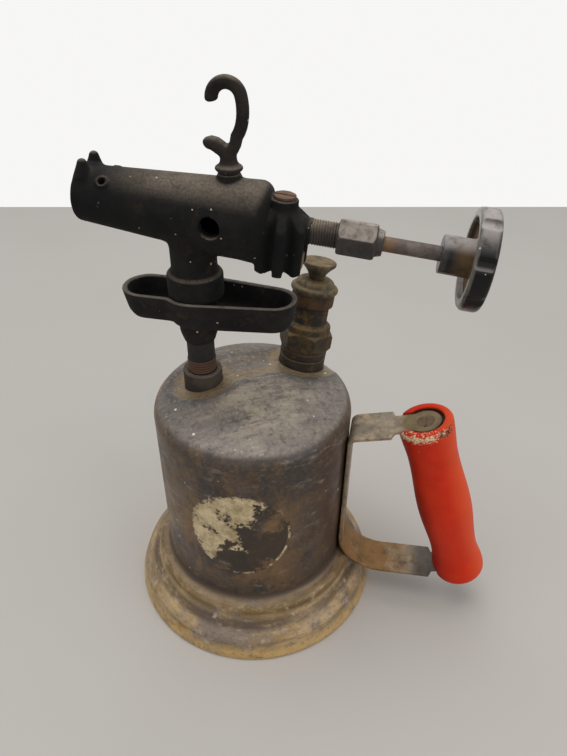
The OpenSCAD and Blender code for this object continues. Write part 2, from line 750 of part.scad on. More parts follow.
module tank_bottom() {
    edge_r = tank_r - tank_wall - seat_gap;
    edge_z = tank_foot + bottom_lift;
    hole_r = filler_bush_d / 2 + seat_gap;
    bend = 2 * bottom_wall;
    lower = route(
        [[edge_r, edge_z + bottom_flange_h], [edge_r, edge_z], [edge_r - funnel_ring, edge_z],
            [filler_bush_d, funnel_z], [hole_r, funnel_z]],
        [bend, bend, bend]);
    color("darkgoldenrod") rotate_extrude($fn = 128) polygon(sheet(lower, -bottom_wall));
}
module filler_bush() {
    color("goldenrod")
    translate([0, 0, funnel_z - filler_lip_t])
    difference() {
        union() {
            cylinder(d = filler_bush_d, h = filler_bush_len);
            cylinder(d = filler_bush_d + 2 * filler_lip, h = filler_lip_t);
        }
        translate([0, 0, -cut]) cylinder(d = filler_bore_d, h = filler_bush_len + 2 * cut);
    }
}
module filler_gasket() {
    color("saddlebrown")
    translate([0, 0, funnel_z - filler_lip_t - filler_gasket_t])
    ring(filler_bush_d, filler_bore_d + 2 * seat_gap, filler_gasket_t);
}
module filler_plug() {
    head_z = funnel_z - filler_lip_t - filler_gasket_t - filler_head_t;
    thread_h = filler_gasket_t + filler_bush_len;
    color("goldenrod") {
        translate([0, 0, head_z]) cylinder(d = filler_bush_d, h = filler_head_t);
        translate([0, 0, head_z + filler_head_t]) cylinder(d = filler_bore_d - 2 * run_gap, h = thread_h);
        translate([0, 0, head_z - filler_bar_h])
        intersection() {
            translate([-filler_bush_d / 2, -filler_bar_t / 2, 0])
                cube([filler_bush_d, filler_bar_t, filler_bar_h]);
            cylinder(d1 = filler_bore_d, d2 = filler_bush_d, h = filler_bar_h);
        }
    }
}

// Feed pipe, suction tube and wick
module burner_boss() {
    color("dimgray")
    at_feed() translate([0, 0, boss_foot]) ring(boss_d, pipe_d + 2 * seat_gap, boss_top - boss_foot);
}
module feed_pipe() {
    color("dimgray")
    at_feed()
    difference() {
        union() {
            translate([0, 0, boss_foot]) cylinder(d = pipe_d, h = pipe_top - boss_foot);
            translate([0, 0, boss_top]) cylinder(d = pipe_d + 2 * thread_h, h = thread_len);
        }
        translate([0, 0, boss_foot - cut]) cylinder(d = pipe_bore_d, h = pipe_top - boss_foot + 2 * cut);
    }
}
module suction_tube() {
    tube_d = pipe_bore_d - 2 * seat_gap;
    color("goldenrod")
    at_feed() translate([0, 0, suction_foot])
    ring(tube_d, tube_d - 2 * suction_wall, boss_foot + suction_lap - suction_foot);
}
module wick() {
    wick_d = pipe_bore_d - 4 * seat_gap - 2 * suction_wall;
    foot = suction_foot - wick_tail;
    color("ivory") at_feed() translate([0, 0, foot]) cylinder(d = wick_d, h = boss_foot + suction_lap - foot);
}

// Priming pan: a narrow lobe in front, the round hub and a long tapering end
module pan_well(x, top_d, depth) {
    lip = depth / 4;
    lip_d = top_d - 2 * pan_lean;
    translate([x, 0, -depth]) cylinder(d1 = lip_d - 2 * pan_lean, d2 = lip_d, h = lip, $fn = 40);
    translate([x, 0, lip - depth]) cylinder(d1 = lip_d, d2 = top_d, h = depth - lip, $fn = 40);
}
module pan_form(inset, depth, front_depth) {
    pan_hub_d = collar_d + 2 * (hub_room + pan_wall);
    hull() {
        pan_well(-lobe_reach, lobe_d - 2 * inset, front_depth);
        pan_well(0, lobe_d - 2 * inset, front_depth);
    }
    hull() {
        pan_well(0, pan_hub_d - 2 * inset, depth);
        pan_well(tail_reach, tail_d - 2 * inset, depth);
    }
}
module priming_pan() {
    hub_h = pan_floor_z - pan_neck_foot;
    hole_d = pipe_d + 2 * seat_gap;
    lobe_depth = pan_depth - lobe_rise;
    color("#2a2725")
    at_feed()
    difference() {
        union() {
            translate([0, 0, pan_rim_z]) pan_form(0, pan_depth, lobe_depth);
            translate([0, 0, pan_neck_foot]) {
                cylinder(d1 = hole_d + pan_wall / 2, d2 = pan_neck_d, h = pan_neck_cone);
                translate([0, 0, pan_neck_cone]) cylinder(d = pan_neck_d, h = hub_h - pan_neck_cone);
            }
        }
        translate([0, 0, pan_rim_z + cut])
            pan_form(pan_wall, pan_depth - pan_floor + cut, lobe_depth - pan_floor + cut);
        translate([0, 0, pan_neck_foot - cut]) cylinder(d = hole_d, h = hub_h + pan_depth);
    }
}

// Burner casting: combustion tube, stem and collar, finned vaporizer and valve neck
module tube_body() {
    lip = 1;
    back = tube_back + tube_round;
    along_burner()
    rotate_extrude() polygon(concat(
        [[0, -mouth_x], [mouth_d / 2 - lip, -mouth_x], [mouth_d / 2, lip - mouth_x]],
        arc([tube_back_d / 2 - tube_round, tube_back], tube_round, 0, 90, 8),
        [[0, back]]));
}
module fin_outline() {
    for (side = [-1, 1], k = [1:fin_count]) {
        rotate(side * k * fin_step) {
            translate([0, -fin_w / 2]) square([fin_reach - fin_w / 2, fin_w]);
            translate([fin_reach - fin_w / 2, 0]) circle(d = fin_w);
        }
    }
}
module vaporizer_body() {
    at_burner(block_x, -core_foot) cylinder(d = block_d, h = core_foot + fin_shoulder);
    at_burner(block_x, fin_shoulder) cylinder(d1 = block_d, d2 = plug_boss_d, h = fin_top - fin_shoulder);
    at_burner(block_x, fin_top) cylinder(d = plug_boss_d, h = plug_boss_top - fin_top);
    at_burner(block_x)
    intersection() {
        translate([0, 0, -fin_foot]) linear_extrude(fin_foot + fin_top) fin_outline();
        rotate_extrude() polygon([[0, -fin_foot], [fin_reach - fin_bevel, -fin_foot],
            [fin_reach, fin_bevel - fin_foot], [fin_reach, fin_shoulder],
            [plug_boss_d / 2, fin_top], [0, fin_top]]);
    }
    along_burner(0, -passage_z) cylinder(d = rib_d, h = block_back);
    along_burner(block_x) cylinder(d = neck_d, h = neck_end - block_x);
}
module stem_body() {
    collar_foot = pan_rim_z - collar_sink;
    bevel_foot = collar_top - collar_bevel;
    at_feed() {
        translate([0, 0, collar_top]) cylinder(d = stem_d, h = stem_h);
        translate([0, 0, pan_floor_z]) cylinder(d = pan_neck_d, h = collar_top - pan_floor_z);
        translate([0, 0, collar_foot]) cylinder(d = collar_d, h = bevel_foot - collar_foot);
        translate([0, 0, bevel_foot])
            cylinder(d1 = collar_d, d2 = collar_d - 2 * collar_bevel, h = collar_bevel);
    }
}
module ears() {
    foot = chamber_d / 2 - cut;
    for (side = [-1, 1]) {
        at_burner(ear_d / 2 - mouth_x, foot) translate([0, side * ear_spacing / 2, 0]) {
            cylinder(d1 = ear_d, d2 = 2 * ear_tip_r, h = ear_top - ear_tip_r - foot);
            translate([0, 0, ear_top - ear_tip_r - foot]) sphere(r = ear_tip_r);
        }
    }
}
module vents(d, h) {
    for (side = [-1, 1]) {
        at_burner(-vent_x) rotate([side * (90 - vent_angle), 0, 0]) cylinder(d = d, h = h);
    }
}
function tube_r(x) = mouth_d / 2 + (tube_back_d - mouth_d) / 2 * (x + mouth_x) / (tube_back + mouth_x);
module burner_casting() {
    color("#302d2b")
    difference() {
        union() {
            tube_body();
            vaporizer_body();
            stem_body();
            ears();
            vents(vent_ring_d, tube_r(-vent_x) + vent_ring_d / 8);
            translate([feed_x + hook_x, 0, burner_z]) cylinder(d = hook_boss_d, h = hook_boss_top - burner_z);
        }
        along_burner(-mouth_x - cut) cylinder(d = chamber_d, h = mouth_x + chamber_back + cut);
        at_burner(air_hole_x) rotate([90, 0, 0]) cylinder(d = air_hole_d, h = 2 * tube_back_d, center = true);
        vents(vent_d, tube_back_d);
        along_burner(chamber_back - cut) cylinder(d = jet_thread_d + 2 * seat_gap, h = jet_len);
        along_burner(valve_room_front) cylinder(d = valve_room_d, h = valve_room_back - valve_room_front);
        along_burner(valve_room_back - cut)
            cylinder(d = spindle_d + 2 * run_gap, h = neck_end - valve_room_back + 2 * cut);
        along_burner(0, -passage_z) cylinder(d = passage_d, h = block_back + cut);
        along_burner(block_back - plug_thread_len, -passage_z)
            cylinder(d = passage_d + 2 * seat_gap, h = plug_thread_len + cut);
        at_burner(block_x, -passage_z) cylinder(d = riser_d, h = passage_z + plug_boss_top);
        at_burner(block_x, plug_boss_top - plug_thread_len)
            cylinder(d = plug_thread_d + 2 * seat_gap, h = plug_thread_len + cut);
        at_feed() {
            translate([0, 0, pan_floor_z - cut])
                cylinder(d = pipe_d + 2 * seat_gap, h = pipe_top - pan_floor_z + cut);
            translate([0, 0, pipe_top - cut])
                cylinder(d = riser_d, h = burner_z - passage_z - pipe_top + cut);
        }
        translate([feed_x + hook_x, 0, hook_boss_top - hook_stud_len])
            cylinder(d = hook_stud_d + 2 * seat_gap, h = hook_stud_len + cut);
    }
}
module top_plug() {
    color("sienna")
    at_burner(block_x, plug_boss_top)
    difference() {
        union() {
            cylinder(d = plug_head_d, h = plug_head_t);
            translate([0, 0, -plug_thread_len]) cylinder(d = plug_thread_d, h = plug_thread_len + cut);
        }
        translate([0, 0, plug_head_t]) slot(plug_head_d, plug_head_t / 2);
    }
}
module rear_plug() {
    color("sienna")
    along_burner(block_back, -passage_z)
    difference() {
        union() {
            cylinder(d = rear_head_d, h = plug_head_t);
            translate([0, 0, -plug_thread_len]) cylinder(d = passage_d, h = plug_thread_len + cut);
        }
        translate([0, 0, plug_head_t]) slot(rear_head_d, plug_head_t / 2);
    }
}

// Jet, needle, spindle, packing and handwheel along the burner axis
module jet() {
    color("goldenrod")
    along_burner(chamber_back)
    difference() {
        union() {
            translate([0, 0, -jet_len]) cylinder(d1 = jet_tip_d, d2 = jet_head_d, h = jet_len);
            cylinder(d = jet_thread_d, h = jet_len - 2 * cut);
        }
        translate([0, 0, -jet_len - cut]) cylinder(d = orifice_d, h = 2 * jet_len);
        rotate_extrude() polygon([[0, 0], [jet_len * needle_taper, jet_len], [0, jet_len]]);
    }
}
module valve_needle() {
    play = run_gap / needle_taper;
    tail = spindle_front - needle_tip;
    bevel_end = seat_back - needle_tip + play;
    color("silver")
    along_burner(needle_tip)
    rotate_extrude() polygon([[0, play], [needle_d / 2, bevel_end], [needle_d / 2, tail], [0, tail]]);
}
module valve_spindle() {
    square_len = web_back - hub_front;
    color("darkgray")
    along_burner(spindle_front) {
        cylinder(d = spindle_d, h = hub_front - spindle_front);
        translate([-square_w / 2, -square_w / 2, hub_front - spindle_front])
            cube([square_w, square_w, square_len]);
        translate([0, 0, web_back - spindle_front]) cylinder(d = tail_thread_d, h = wheel_nut_t);
    }
}
module packing() {
    color("dimgray") along_burner(neck_end) ring(neck_d, spindle_d + 2 * run_gap, packing_len);
}
module packing_nut() {
    color("rosybrown")
    along_burner(nut_front) rotate(nut_turn)
    difference() {
        union() {
            hexagon(nut_af, nut_len);
            translate([0, 0, nut_len])
                cylinder(d1 = nut_collar_d + nut_collar_len / 2, d2 = nut_collar_d, h = nut_collar_len);
        }
        translate([0, 0, -cut]) cylinder(d = neck_d + 2 * seat_gap, h = packing_back - nut_front + cut);
        cylinder(d = spindle_d + 2 * run_gap, h = nut_len + nut_collar_len + cut);
    }
}
module wheel_rim() {
    r = wheel_d / 2;
    difference() {
        rotate_extrude($fn = 128) polygon(concat([[0, 0]],
            arc([r - wheel_round, wheel_round], wheel_round, -90, 0, 6),
            arc([r - wheel_round, wheel_t - wheel_round], wheel_round, 0, 90, 6), [[0, wheel_t]]));
        for (k = [1:wheel_lobes]) {
            rotate(wheel_turn + k * 360 / wheel_lobes) translate([r - flute_depth + flute_r, 0, -cut])
                cylinder(r = flute_r, h = wheel_t + 2 * cut);
        }
        translate([0, 0, -cut]) cylinder(d = wheel_d - 2 * wheel_lip, h = wheel_dish + cut);
        translate([0, 0, wheel_t - wheel_dish]) cylinder(d = wheel_hub_d, h = wheel_dish + cut);
    }
}
module handwheel() {
    hole = square_w + 2 * seat_gap;
    color("#151515")
    along_burner(hub_front)
    difference() {
        union() {
            translate([0, 0, hub_len]) wheel_rim();
            cylinder(d = wheel_hub_d, h = web_back - hub_front);
        }
        translate([-hole / 2, -hole / 2, -cut]) cube([hole, hole, wheel_t + hub_len + 2 * cut]);
    }
}
module wheel_nut() {
    color("darkgray") along_burner(web_back) hex_nut(wheel_nut_af, tail_thread_d + 2 * seat_gap, wheel_nut_t);
}

// Hook for resting a soldering iron, bent from one rod over a turned foot
module bend(centre, r, from, to, rod_d) {
    translate([centre[0], 0, centre[1]]) rotate([90, 0, 0]) rotate(from)
        rotate_extrude(angle = to - from) translate([r, 0]) circle(d = rod_d);
}
module iron_hook() {
    top = [0, hook_top_z];
    back = top - (hook_back_r - hook_top_r) * [cos(hook_back_up), sin(hook_back_up)];
    low = back + (hook_back_r - hook_low_r) * [cos(hook_back_down), -sin(hook_back_down)];
    foot = hook_boss_top;
    waist = (hook_ring_d + hook_neck_d) / 4;
    neck_h = hook_neck_top - foot;
    color("#302d2b")
    translate([feed_x + hook_x, 0, 0]) {
        translate([0, 0, foot - hook_stud_len]) cylinder(d = hook_stud_d, h = hook_stud_len + cut);
        translate([0, 0, foot])
            rotate_extrude() polygon(concat([[0, 0], [waist, 0]],
                arc([hook_ring_d / 2 - hook_ring_h / 4, hook_ring_h / 2], hook_ring_h / 4, -90, 90, 8),
                [[hook_neck_d / 2, hook_ring_h], [hook_neck_d / 2, neck_h], [0, neck_h]]));
        translate([0, 0, hook_neck_top]) sphere(d = hook_neck_d);
        bend(low, hook_low_r, -hook_low_end, -hook_back_down, hook_rod_d);
        bend(back, hook_back_r, -hook_back_down - hook_lap, hook_back_up, hook_rod_d - hook_taper);
        bend(top, hook_top_r, hook_back_up - hook_lap, hook_tip, hook_rod_d - 2 * hook_taper);
        translate([0, 0, hook_neck_top]) rotate([0, thumb_lift - 90, 0])
            rotate_extrude() polygon(concat([[0, 0], [(hook_neck_d - cut) / 2, 0]],
                arc([0, thumb_reach], thumb_d / 2, 0, 90, 8)));
    }
}

// Pump: bush, head, barrel and cap fixed in the tank top, then the plunger that slides in them
module pump_bush() {
    groove_a = bush_h / 2;
    color("darkgoldenrod")
    difference() {
        at_pump(-bush_foot) ring(bush_d, head_thread_d + 2 * seat_gap, bush_foot + bush_h);
        at_pump(groove_a) ring(bush_d + 2 * cut, bush_d - 2 * bush_groove, bush_groove);
    }
}
module pump_gasket() {
    color("saddlebrown") at_pump(bush_h) ring(bush_d, head_thread_d + 2 * seat_gap, head_gasket_t);
}
module pump_head() {
    thread_foot = -bush_foot;
    edge_r = bead_h / 4;
    band_h = bead_h - 2 * edge_r;
    color("goldenrod")
    difference() {
        union() {
            at_pump(thread_foot) cylinder(d = head_thread_d, h = hex_a - thread_foot + cut);
            at_pump(hex_a) hexagon(head_af, head_hex_h);
            at_pump(bead_a) rotate_extrude() polygon(concat([[0, 0], [bead_d / 2, 0]],
                arc([bead_d / 2 - edge_r, band_h], edge_r, 0, 60, 6), [[throat_d / 2, bead_h], [0, bead_h]]));
            at_pump(throat_a - cut) cylinder(d = throat_d, h = throat_h + cut);
            at_pump(flange_a) cylinder(d = flange_d, h = flange_h);
            at_pump(cap_a) cylinder(d = spigot_d, h = spigot_h);
        }
        at_pump(thread_foot - cut) cylinder(d = barrel_d + 2 * seat_gap, h = barrel_top - thread_foot + cut);
        at_pump(barrel_top - cut) cylinder(d = 2 * rod_d, h = cap_a + spigot_h - barrel_top + 2 * cut);
    }
}
module pump_barrel() {
    color("goldenrod") at_pump(-barrel_foot) ring(barrel_d, barrel_bore_d, barrel_foot + barrel_top);
}
module pump_cap() {
    rim_r = cap_rim_t / 2;
    color("goldenrod")
    at_pump(cap_a)
    difference() {
        rotate_extrude() polygon(concat([[0, 0]], arc([cap_d / 2 - rim_r, rim_r], rim_r, -90, 90, 10),
            arc([crown_d / 2 - cap_rise, cap_rim_t], cap_rise, 0, 90, 8), [[0, cap_rim_t + cap_rise]]));
        translate([0, 0, -cut]) cylinder(d = spigot_d + 2 * seat_gap, h = spigot_h + seat_gap + cut);
        cylinder(d = rod_d + 2 * run_gap, h = cap_rim_t + cap_rise + cut);
    }
}
module pump_rod() {
    color("darkgray") at_pump(plunger_foot) cylinder(d = rod_d, h = cap_top + knob_h / 2 - plunger_foot);
}
module pump_knob() {
    steps = 10;
    curve = 1.8;
    flare = [for (i = [0:steps]) let (share = i / steps)
        [knob_waist_d / 2 + (knob_d - knob_waist_d) / 2 * pow(share, curve), (knob_h - knob_edge) * share]];
    color("goldenrod")
    at_pump(cap_top + run_gap)
    difference() {
        rotate_extrude() polygon(concat([[0, 0]], flare, [[knob_d / 2, knob_h], [0, knob_h]]));
        translate([0, 0, -cut]) cylinder(d = rod_d + 2 * seat_gap, h = knob_h / 2 - run_gap + cut);
    }
}
module leather_washer() {
    color("goldenrod")
    at_pump(backing_a) ring(barrel_bore_d - 2 * (cup_t + washer_gap), rod_d + 2 * seat_gap, backing_t);
}
module cup_leather() {
    outer_d = barrel_bore_d - 2 * run_gap;
    color("saddlebrown")
    at_pump(cup_a)
    difference() {
        cylinder(d = outer_d, h = cup_h);
        translate([0, 0, cup_t]) cylinder(d = outer_d - 2 * cup_t, h = cup_h);
        translate([0, 0, -cut]) cylinder(d = rod_d + 2 * seat_gap, h = cup_t + 2 * cut);
    }
}
module plunger_nut() {
    color("goldenrod") at_pump(plunger_foot) hex_nut(plunger_nut_af, rod_d + 2 * seat_gap, plunger_nut_t);
}

// Check valve at the foot of the barrel: a sprung disc that lets air into the tank
module check_body() {
    color("goldenrod")
    difference() {
        union() {
            at_pump(keeper_a) cylinder(d = barrel_d, h = check_len);
            at_pump(-barrel_foot) cylinder(d = barrel_bore_d - 2 * seat_gap, h = check_spigot);
        }
        at_pump(keeper_a - cut) cylinder(d = check_bore_d, h = seat_a - keeper_a + cut);
        at_pump(keeper_a) cylinder(d = port_d, h = check_len + check_spigot + cut);
    }
}
module check_disc() { color("black") at_pump(disc_a) cylinder(d = disc_d, h = disc_t); }
module check_keeper() {
    color("goldenrod") at_pump(keeper_a) ring(check_bore_d - 2 * seat_gap, outlet_d, keeper_t);
}
module check_spring() {
    sides = 6;
    per_coil = 10;
    wire_r = wire_d / 2;
    foot = keeper_a + keeper_t + wire_r;
    lift = disc_a - wire_d - keeper_a - keeper_t;
    last = coils * per_coil;
    points = [for (i = [0:last], k = [0:sides - 1])
        let (a = 360 * i / per_coil, b = 360 * k / sides, r = coil_d / 2 + wire_r * cos(b))
        [r * cos(a), r * sin(a), lift * i / last + wire_r * sin(b)]];
    walls = [for (i = [0:last - 1], k = [0:sides - 1])
        let (n = (k + 1) % sides, a = i * sides, b = a + sides)
        each [[a + k, b + k, b + n], [a + k, b + n, a + n]]];
    end = last * sides;
    caps = [for (k = [1:sides - 2]) each [[0, k, k + 1], [end, end + k + 1, end + k]]];
    color("silver") at_pump(foot) polyhedron(points, concat(walls, caps));
}

// Handle: one bent strap, and a turned wooden grip held between its tongues by a long screw
module tongue_cut(shoulder, height) {
    slant = (strap_w - tongue_w) / 4;
    for (side = [0, 1]) {
        mirror([0, side, 0]) translate([0, 0, -height / 2]) linear_extrude(height)
            polygon([[-shoulder - slant, strap_w / 2 + cut], [-shoulder, tongue_w / 2],
                [strap_w, tongue_w / 2], [strap_w, strap_w / 2 + cut]]);
    }
}
module handle_bracket() {
    face = route([upper_seat, upper_knee, upper_corner, lower_corner, arm_corner, lower_seat],
        [knee_r, upper_bend_r, lower_bend_r, arm_bend_r]);
    upper_shoulder = grip_top_d / 2 + strap_t / 2;
    lower_shoulder = grip_bulb_d / 2 + strap_t / 2;
    reach = 4 * grip_end_r;
    hole_d = screw_d + 2 * seat_gap;
    color("darkkhaki")
    difference() {
        union() {
            difference() {
                rotate([90, 0, 0]) translate([0, 0, -strap_w / 2])
                    linear_extrude(strap_w) polygon(sheet(face, strap_t));
                at_grip(tongue_depth) tongue_cut(upper_shoulder, reach);
                at_grip(grip_len - lower_depth) tongue_cut(lower_shoulder, reach);
            }
            at_grip(tongue_depth + strap_t) cylinder(d = pad_d, h = strap_t);
            at_grip(lower_run) cylinder(d = pad_d, h = strap_t);
        }
        at_grip(grip_len) cylinder(d = hole_d, h = grip_len);
        at_grip(tongue_depth + strap_t) cylinder(d1 = hole_d, d2 = sink_d + 2 * seat_gap, h = strap_t);
    }
}
module grip_slot(depth, top, out) {
    w = tongue_w + 2 * slot_gap;
    at_grip(depth) {
        cylinder(d = recess_d, h = top);
        translate([-out, -w / 2, 0]) cube([out, w, top]);
    }
}
module handle_grip() {
    lip = 1.2;
    stations = [[grip_top_d / 2, -lip], [grip_neck_d / 2, -grip_len * neck_share],
        [grip_swell_d / 2, -grip_len * swell_share], [grip_waist_d / 2, -grip_len * waist_share],
        [grip_bulb_d / 2, -grip_len * bulb_share], [grip_bulb_d / 2, grip_end_r - grip_len]];
    floor_depth = tongue_depth + strap_t;
    end_r = grip_bulb_d / 2 - grip_end_r;
    color("orangered")
    difference() {
        at_grip()
        rotate_extrude($fn = 96) polygon(concat([[0, 0], [grip_top_d / 2 - lip, 0]], turned(stations),
            arc([end_r, grip_end_r - grip_len], grip_end_r, 0, -90, 8), [[0, -grip_len]]));
        grip_slot(floor_depth, floor_depth + cut, grip_top_d);
        grip_slot(grip_len + cut, lower_depth + cut, grip_bulb_d);
        at_grip(grip_len) cylinder(d = screw_d + 4 * seat_gap, h = grip_len);
    }
}
module handle_screw() {
    foot = grip_len - lower_depth + strap_t + screw_nut_t;
    neck = tongue_depth + strap_t;
    head_h = strap_t - head_sink;
    head_d = screw_d + (sink_d - screw_d) * head_h / strap_t;
    color("dimgray")
    difference() {
        union() {
            at_grip(foot) cylinder(d = screw_d, h = foot - neck + head_h);
            at_grip(neck) cylinder(d1 = screw_d, d2 = head_d, h = head_h);
        }
        at_grip(neck - head_h) rotate(90) slot(head_d, head_slot);
    }
}
module handle_nut() {
    foot = grip_len - lower_depth + strap_t + screw_nut_t;
    color("dimgray") at_grip(foot) hex_nut(screw_nut_af, screw_d + 2 * seat_gap, screw_nut_t);
}

tank_shell();
base_skirt();
tank_bottom();
filler_bush();
filler_gasket();
filler_plug();
burner_boss();
feed_pipe();
suction_tube();
wick();
priming_pan();
burner_casting();
jet();
top_plug();
rear_plug();
packing();
packing_nut();
valve_needle();
valve_spindle();
handwheel();
wheel_nut();
iron_hook();
pump_bush();
pump_gasket();
pump_head();
pump_barrel();
pump_cap();
pump_rod();
pump_knob();
leather_washer();
cup_leather();
plunger_nut();
check_body();
check_disc();
check_spring();
check_keeper();
handle_bracket();
handle_grip();
handle_screw();
handle_nut();
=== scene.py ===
import math

import bmesh
import bpy
import numpy as np
from mathutils import Matrix, Vector, noise


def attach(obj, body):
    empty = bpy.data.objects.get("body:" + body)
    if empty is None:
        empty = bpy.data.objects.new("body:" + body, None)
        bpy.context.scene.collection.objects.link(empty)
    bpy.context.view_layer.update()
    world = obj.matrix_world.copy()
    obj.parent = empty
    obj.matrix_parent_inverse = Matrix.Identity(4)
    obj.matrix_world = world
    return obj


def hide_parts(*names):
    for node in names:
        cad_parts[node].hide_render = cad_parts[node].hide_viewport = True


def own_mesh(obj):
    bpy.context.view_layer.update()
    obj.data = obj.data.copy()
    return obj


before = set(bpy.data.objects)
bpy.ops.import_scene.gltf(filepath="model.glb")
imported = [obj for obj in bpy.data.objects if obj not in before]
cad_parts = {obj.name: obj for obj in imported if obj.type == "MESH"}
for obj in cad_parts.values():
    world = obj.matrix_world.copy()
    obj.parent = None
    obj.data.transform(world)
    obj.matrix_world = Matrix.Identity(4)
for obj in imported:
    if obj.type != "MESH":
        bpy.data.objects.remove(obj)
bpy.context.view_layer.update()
scene = bpy.context.scene
scene.view_settings.view_transform = "Standard"
MM = 0.001


# The torch stands on a pale floor that ends in front of a white room, under wide soft lamps.
# The camera looks down on it from the front, a little from the handle's side.
def tone(red, green, blue):
    """A colour as it looks on a screen, 0 to 255, in the linear values that a shader takes."""
    shares = [level / 255 for level in (red, green, blue)]
    linear = [s / 12.92 if s <= 0.04045 else ((s + 0.055) / 1.055) ** 2.4 for s in shares]
    return (*linear, 1.0)


class Nodes:
    """A tree of shader nodes. Each call adds to it and gives back an output to use further on."""

    def __init__(self, tree):
        self.tree = tree

    def put(self, value, socket):
        """Links an output to a socket, or sets a plain value on it."""
        if isinstance(value, bpy.types.NodeSocket):
            self.tree.links.new(value, socket)
        else:
            socket.default_value = value

    def add(self, kind, out=0, **settings):
        """One node: lower-case settings are its options, In0, In1 its inputs by place and the
        others its inputs by name."""
        made = self.tree.nodes.new("ShaderNode" + kind)
        for key, value in settings.items():
            if key[0].islower():
                setattr(made, key, value)
                continue
            by_place = key[:2] == "In" and key[2:].isdigit()
            self.put(value, made.inputs[int(key[2:]) if by_place else key])
        return made.outputs[out]

    def here(self):
        """The point itself, in metres."""
        return self.add("TexCoord", out="Object")

    def cloud(self, scale, detail, roughness=0.5, at=None, **more):
        """Soft noise."""
        return self.add("TexNoise", Vector=self.here() if at is None else at, Scale=scale,
                        Detail=detail, Roughness=roughness, **more)

    def mixed(self, share, below, above):
        """One colour over another, by a share from 0 to 1."""
        return self.add("Mix", out=2, data_type="RGBA", In0=share, In6=below, In7=above)

    def reckon(self, operation, first, *others):
        """Values put together one after the other, such as by ADD or MAXIMUM."""
        for other in others:
            first = self.add("Math", operation=operation, In0=first, In1=other)
        return first

    def times(self, *values):
        """Values multiplied."""
        return self.reckon("MULTIPLY", *values)

    def ramp(self, value, low, high, to_low=0.0, to_high=1.0):
        """A value taken from one range to another, held at its ends and eased between them."""
        return self.add("MapRange", interpolation_type="SMOOTHSTEP", Value=value, In1=low, In2=high,
                        In3=to_low, In4=to_high)

    def facing_up(self):
        """How far the surface faces up, from -1 to 1."""
        return self.add("SeparateXYZ", out="Z", Vector=self.add("TexCoord", out="Normal"))


room_light = 0.42
room_seen = 0.93
room = bpy.data.worlds.new("white_room")
room.use_nodes = True
scene.world = room
air = Nodes(room.node_tree)
background = air.tree.nodes["Background"].inputs
ray = air.tree.nodes.new("ShaderNodeLightPath").outputs
looked_at = air.reckon("MAXIMUM", ray["Is Camera Ray"], ray["Is Glossy Ray"], ray["Is Transmission Ray"])
air.put(air.add("MapRange", Value=looked_at, In3=room_light, In4=room_seen), background["Strength"])
background["Color"].default_value = (1.0, 0.995, 0.985, 1.0)

floor_back = (Vector((-0.497, 0.508, 0.0)), Vector((0.298, 0.694, 0.0)))
floor_half_width = 4
floor_stretch = 1.5
floor_run = (floor_back[1] - floor_back[0]).normalized() * floor_half_width
floor_near = Vector((floor_run.y, -floor_run.x, 0.0)) * floor_stretch
floor_ends = [floor_back[0] - floor_run, floor_back[1] + floor_run]
floor_mesh = bpy.data.meshes.new("pale_floor")
floor_mesh.from_pydata(floor_ends + [end + floor_near for end in reversed(floor_ends)], [], [(3, 2, 1, 0)])
floor = bpy.data.objects.new("pale_floor", floor_mesh)
scene.collection.objects.link(floor)
floor_paint = bpy.data.materials.new("pale_floor_paint")
floor_paint.use_nodes = True
paint = Nodes(floor_paint.node_tree)
shader = paint.tree.nodes["Principled BSDF"].inputs
paint.put(paint.mixed(paint.cloud(5.0, 3.0), tone(190, 185, 179), tone(200, 196, 191)), shader["Base Color"])
shader["Roughness"].default_value = 0.8
floor_mesh.materials.append(floor_paint)


def lamp(name, at, aim, size, watts):
    """A square soft lamp that looks at a point."""
    light = bpy.data.lights.new(name, "AREA")
    light.size = size
    light.energy = watts
    made = bpy.data.objects.new(name, light)
    made.location = at
    made.rotation_euler = (Vector(aim) - Vector(at)).to_track_quat("-Z", "Y").to_euler()
    scene.collection.objects.link(made)


lamp("ceiling_lamp", (-0.15, 0.1, 1.3), (0.0, 0.0, 0.1), size=1.1, watts=8.2)
lamp("window_lamp", (1.1, -0.5, 0.7), (0.0, 0.0, 0.12), size=0.9, watts=4.0)
lamp("far_lamp", (-0.9, -0.7, 0.8), (0.0, 0.0, 0.12), size=0.8, watts=1.0)

eye = Vector((0.0627, -0.2410, 0.3218))
sight = Vector((-0.1540, 0.7923, -0.5905)).normalized()
level = Vector((0.9816, 0.1908, 0.0)).normalized()
roll = math.radians(0.78)
focus_pixels = 612
picture_height = 756
rise = level.cross(sight)
across = level * math.cos(roll) + rise * math.sin(roll)
upward = rise * math.cos(roll) - level * math.sin(roll)
view_data = bpy.data.cameras.new("photo_view")
view_data.sensor_width = 36.0
view_data.lens = view_data.sensor_width * focus_pixels / picture_height
view_data.clip_start = 0.01
camera = bpy.data.objects.new("photo_view", view_data)
camera.matrix_world = (Matrix.Translation(eye)
                       @ Matrix((across, upward, -sight)).transposed().to_4x4())
scene.collection.objects.link(camera)
scene.camera = camera


# The tank is one deep cup drawn from brass sheet, its top domed and pressed into two wide hollows
# for the boss and the pump. Age has turned it grey-brown, with dust on top and flecks of paint.
tank_r = 51.0
tank_foot = 9.0
tank_sheet = 1.2
shoulder_z = 123.0
shoulder_r = 9.0
dome_r = 138.5
dome_base = 0.5
boss_hollow = 2.2
pump_hollow = 1.5
valley_share = 0.8
hollow_fade = 6
boss_seat = Vector((-26.0, 0.0, 135.0))
boss_hole_r = 9.85
pump_seat = Vector((19.87, 30.02, 133.54))
pump_axis = Vector((0.105315, 0.159113, 0.981627))
pump_hole_r = 12.35
hole_length = 40.0
dent_height = 0.35
dent_width = 26
dent_sink = 0.2
dome_dents = 0.6
tank_steps = 192
wall_steps = 40
shoulder_steps = 12
dome_steps = 72


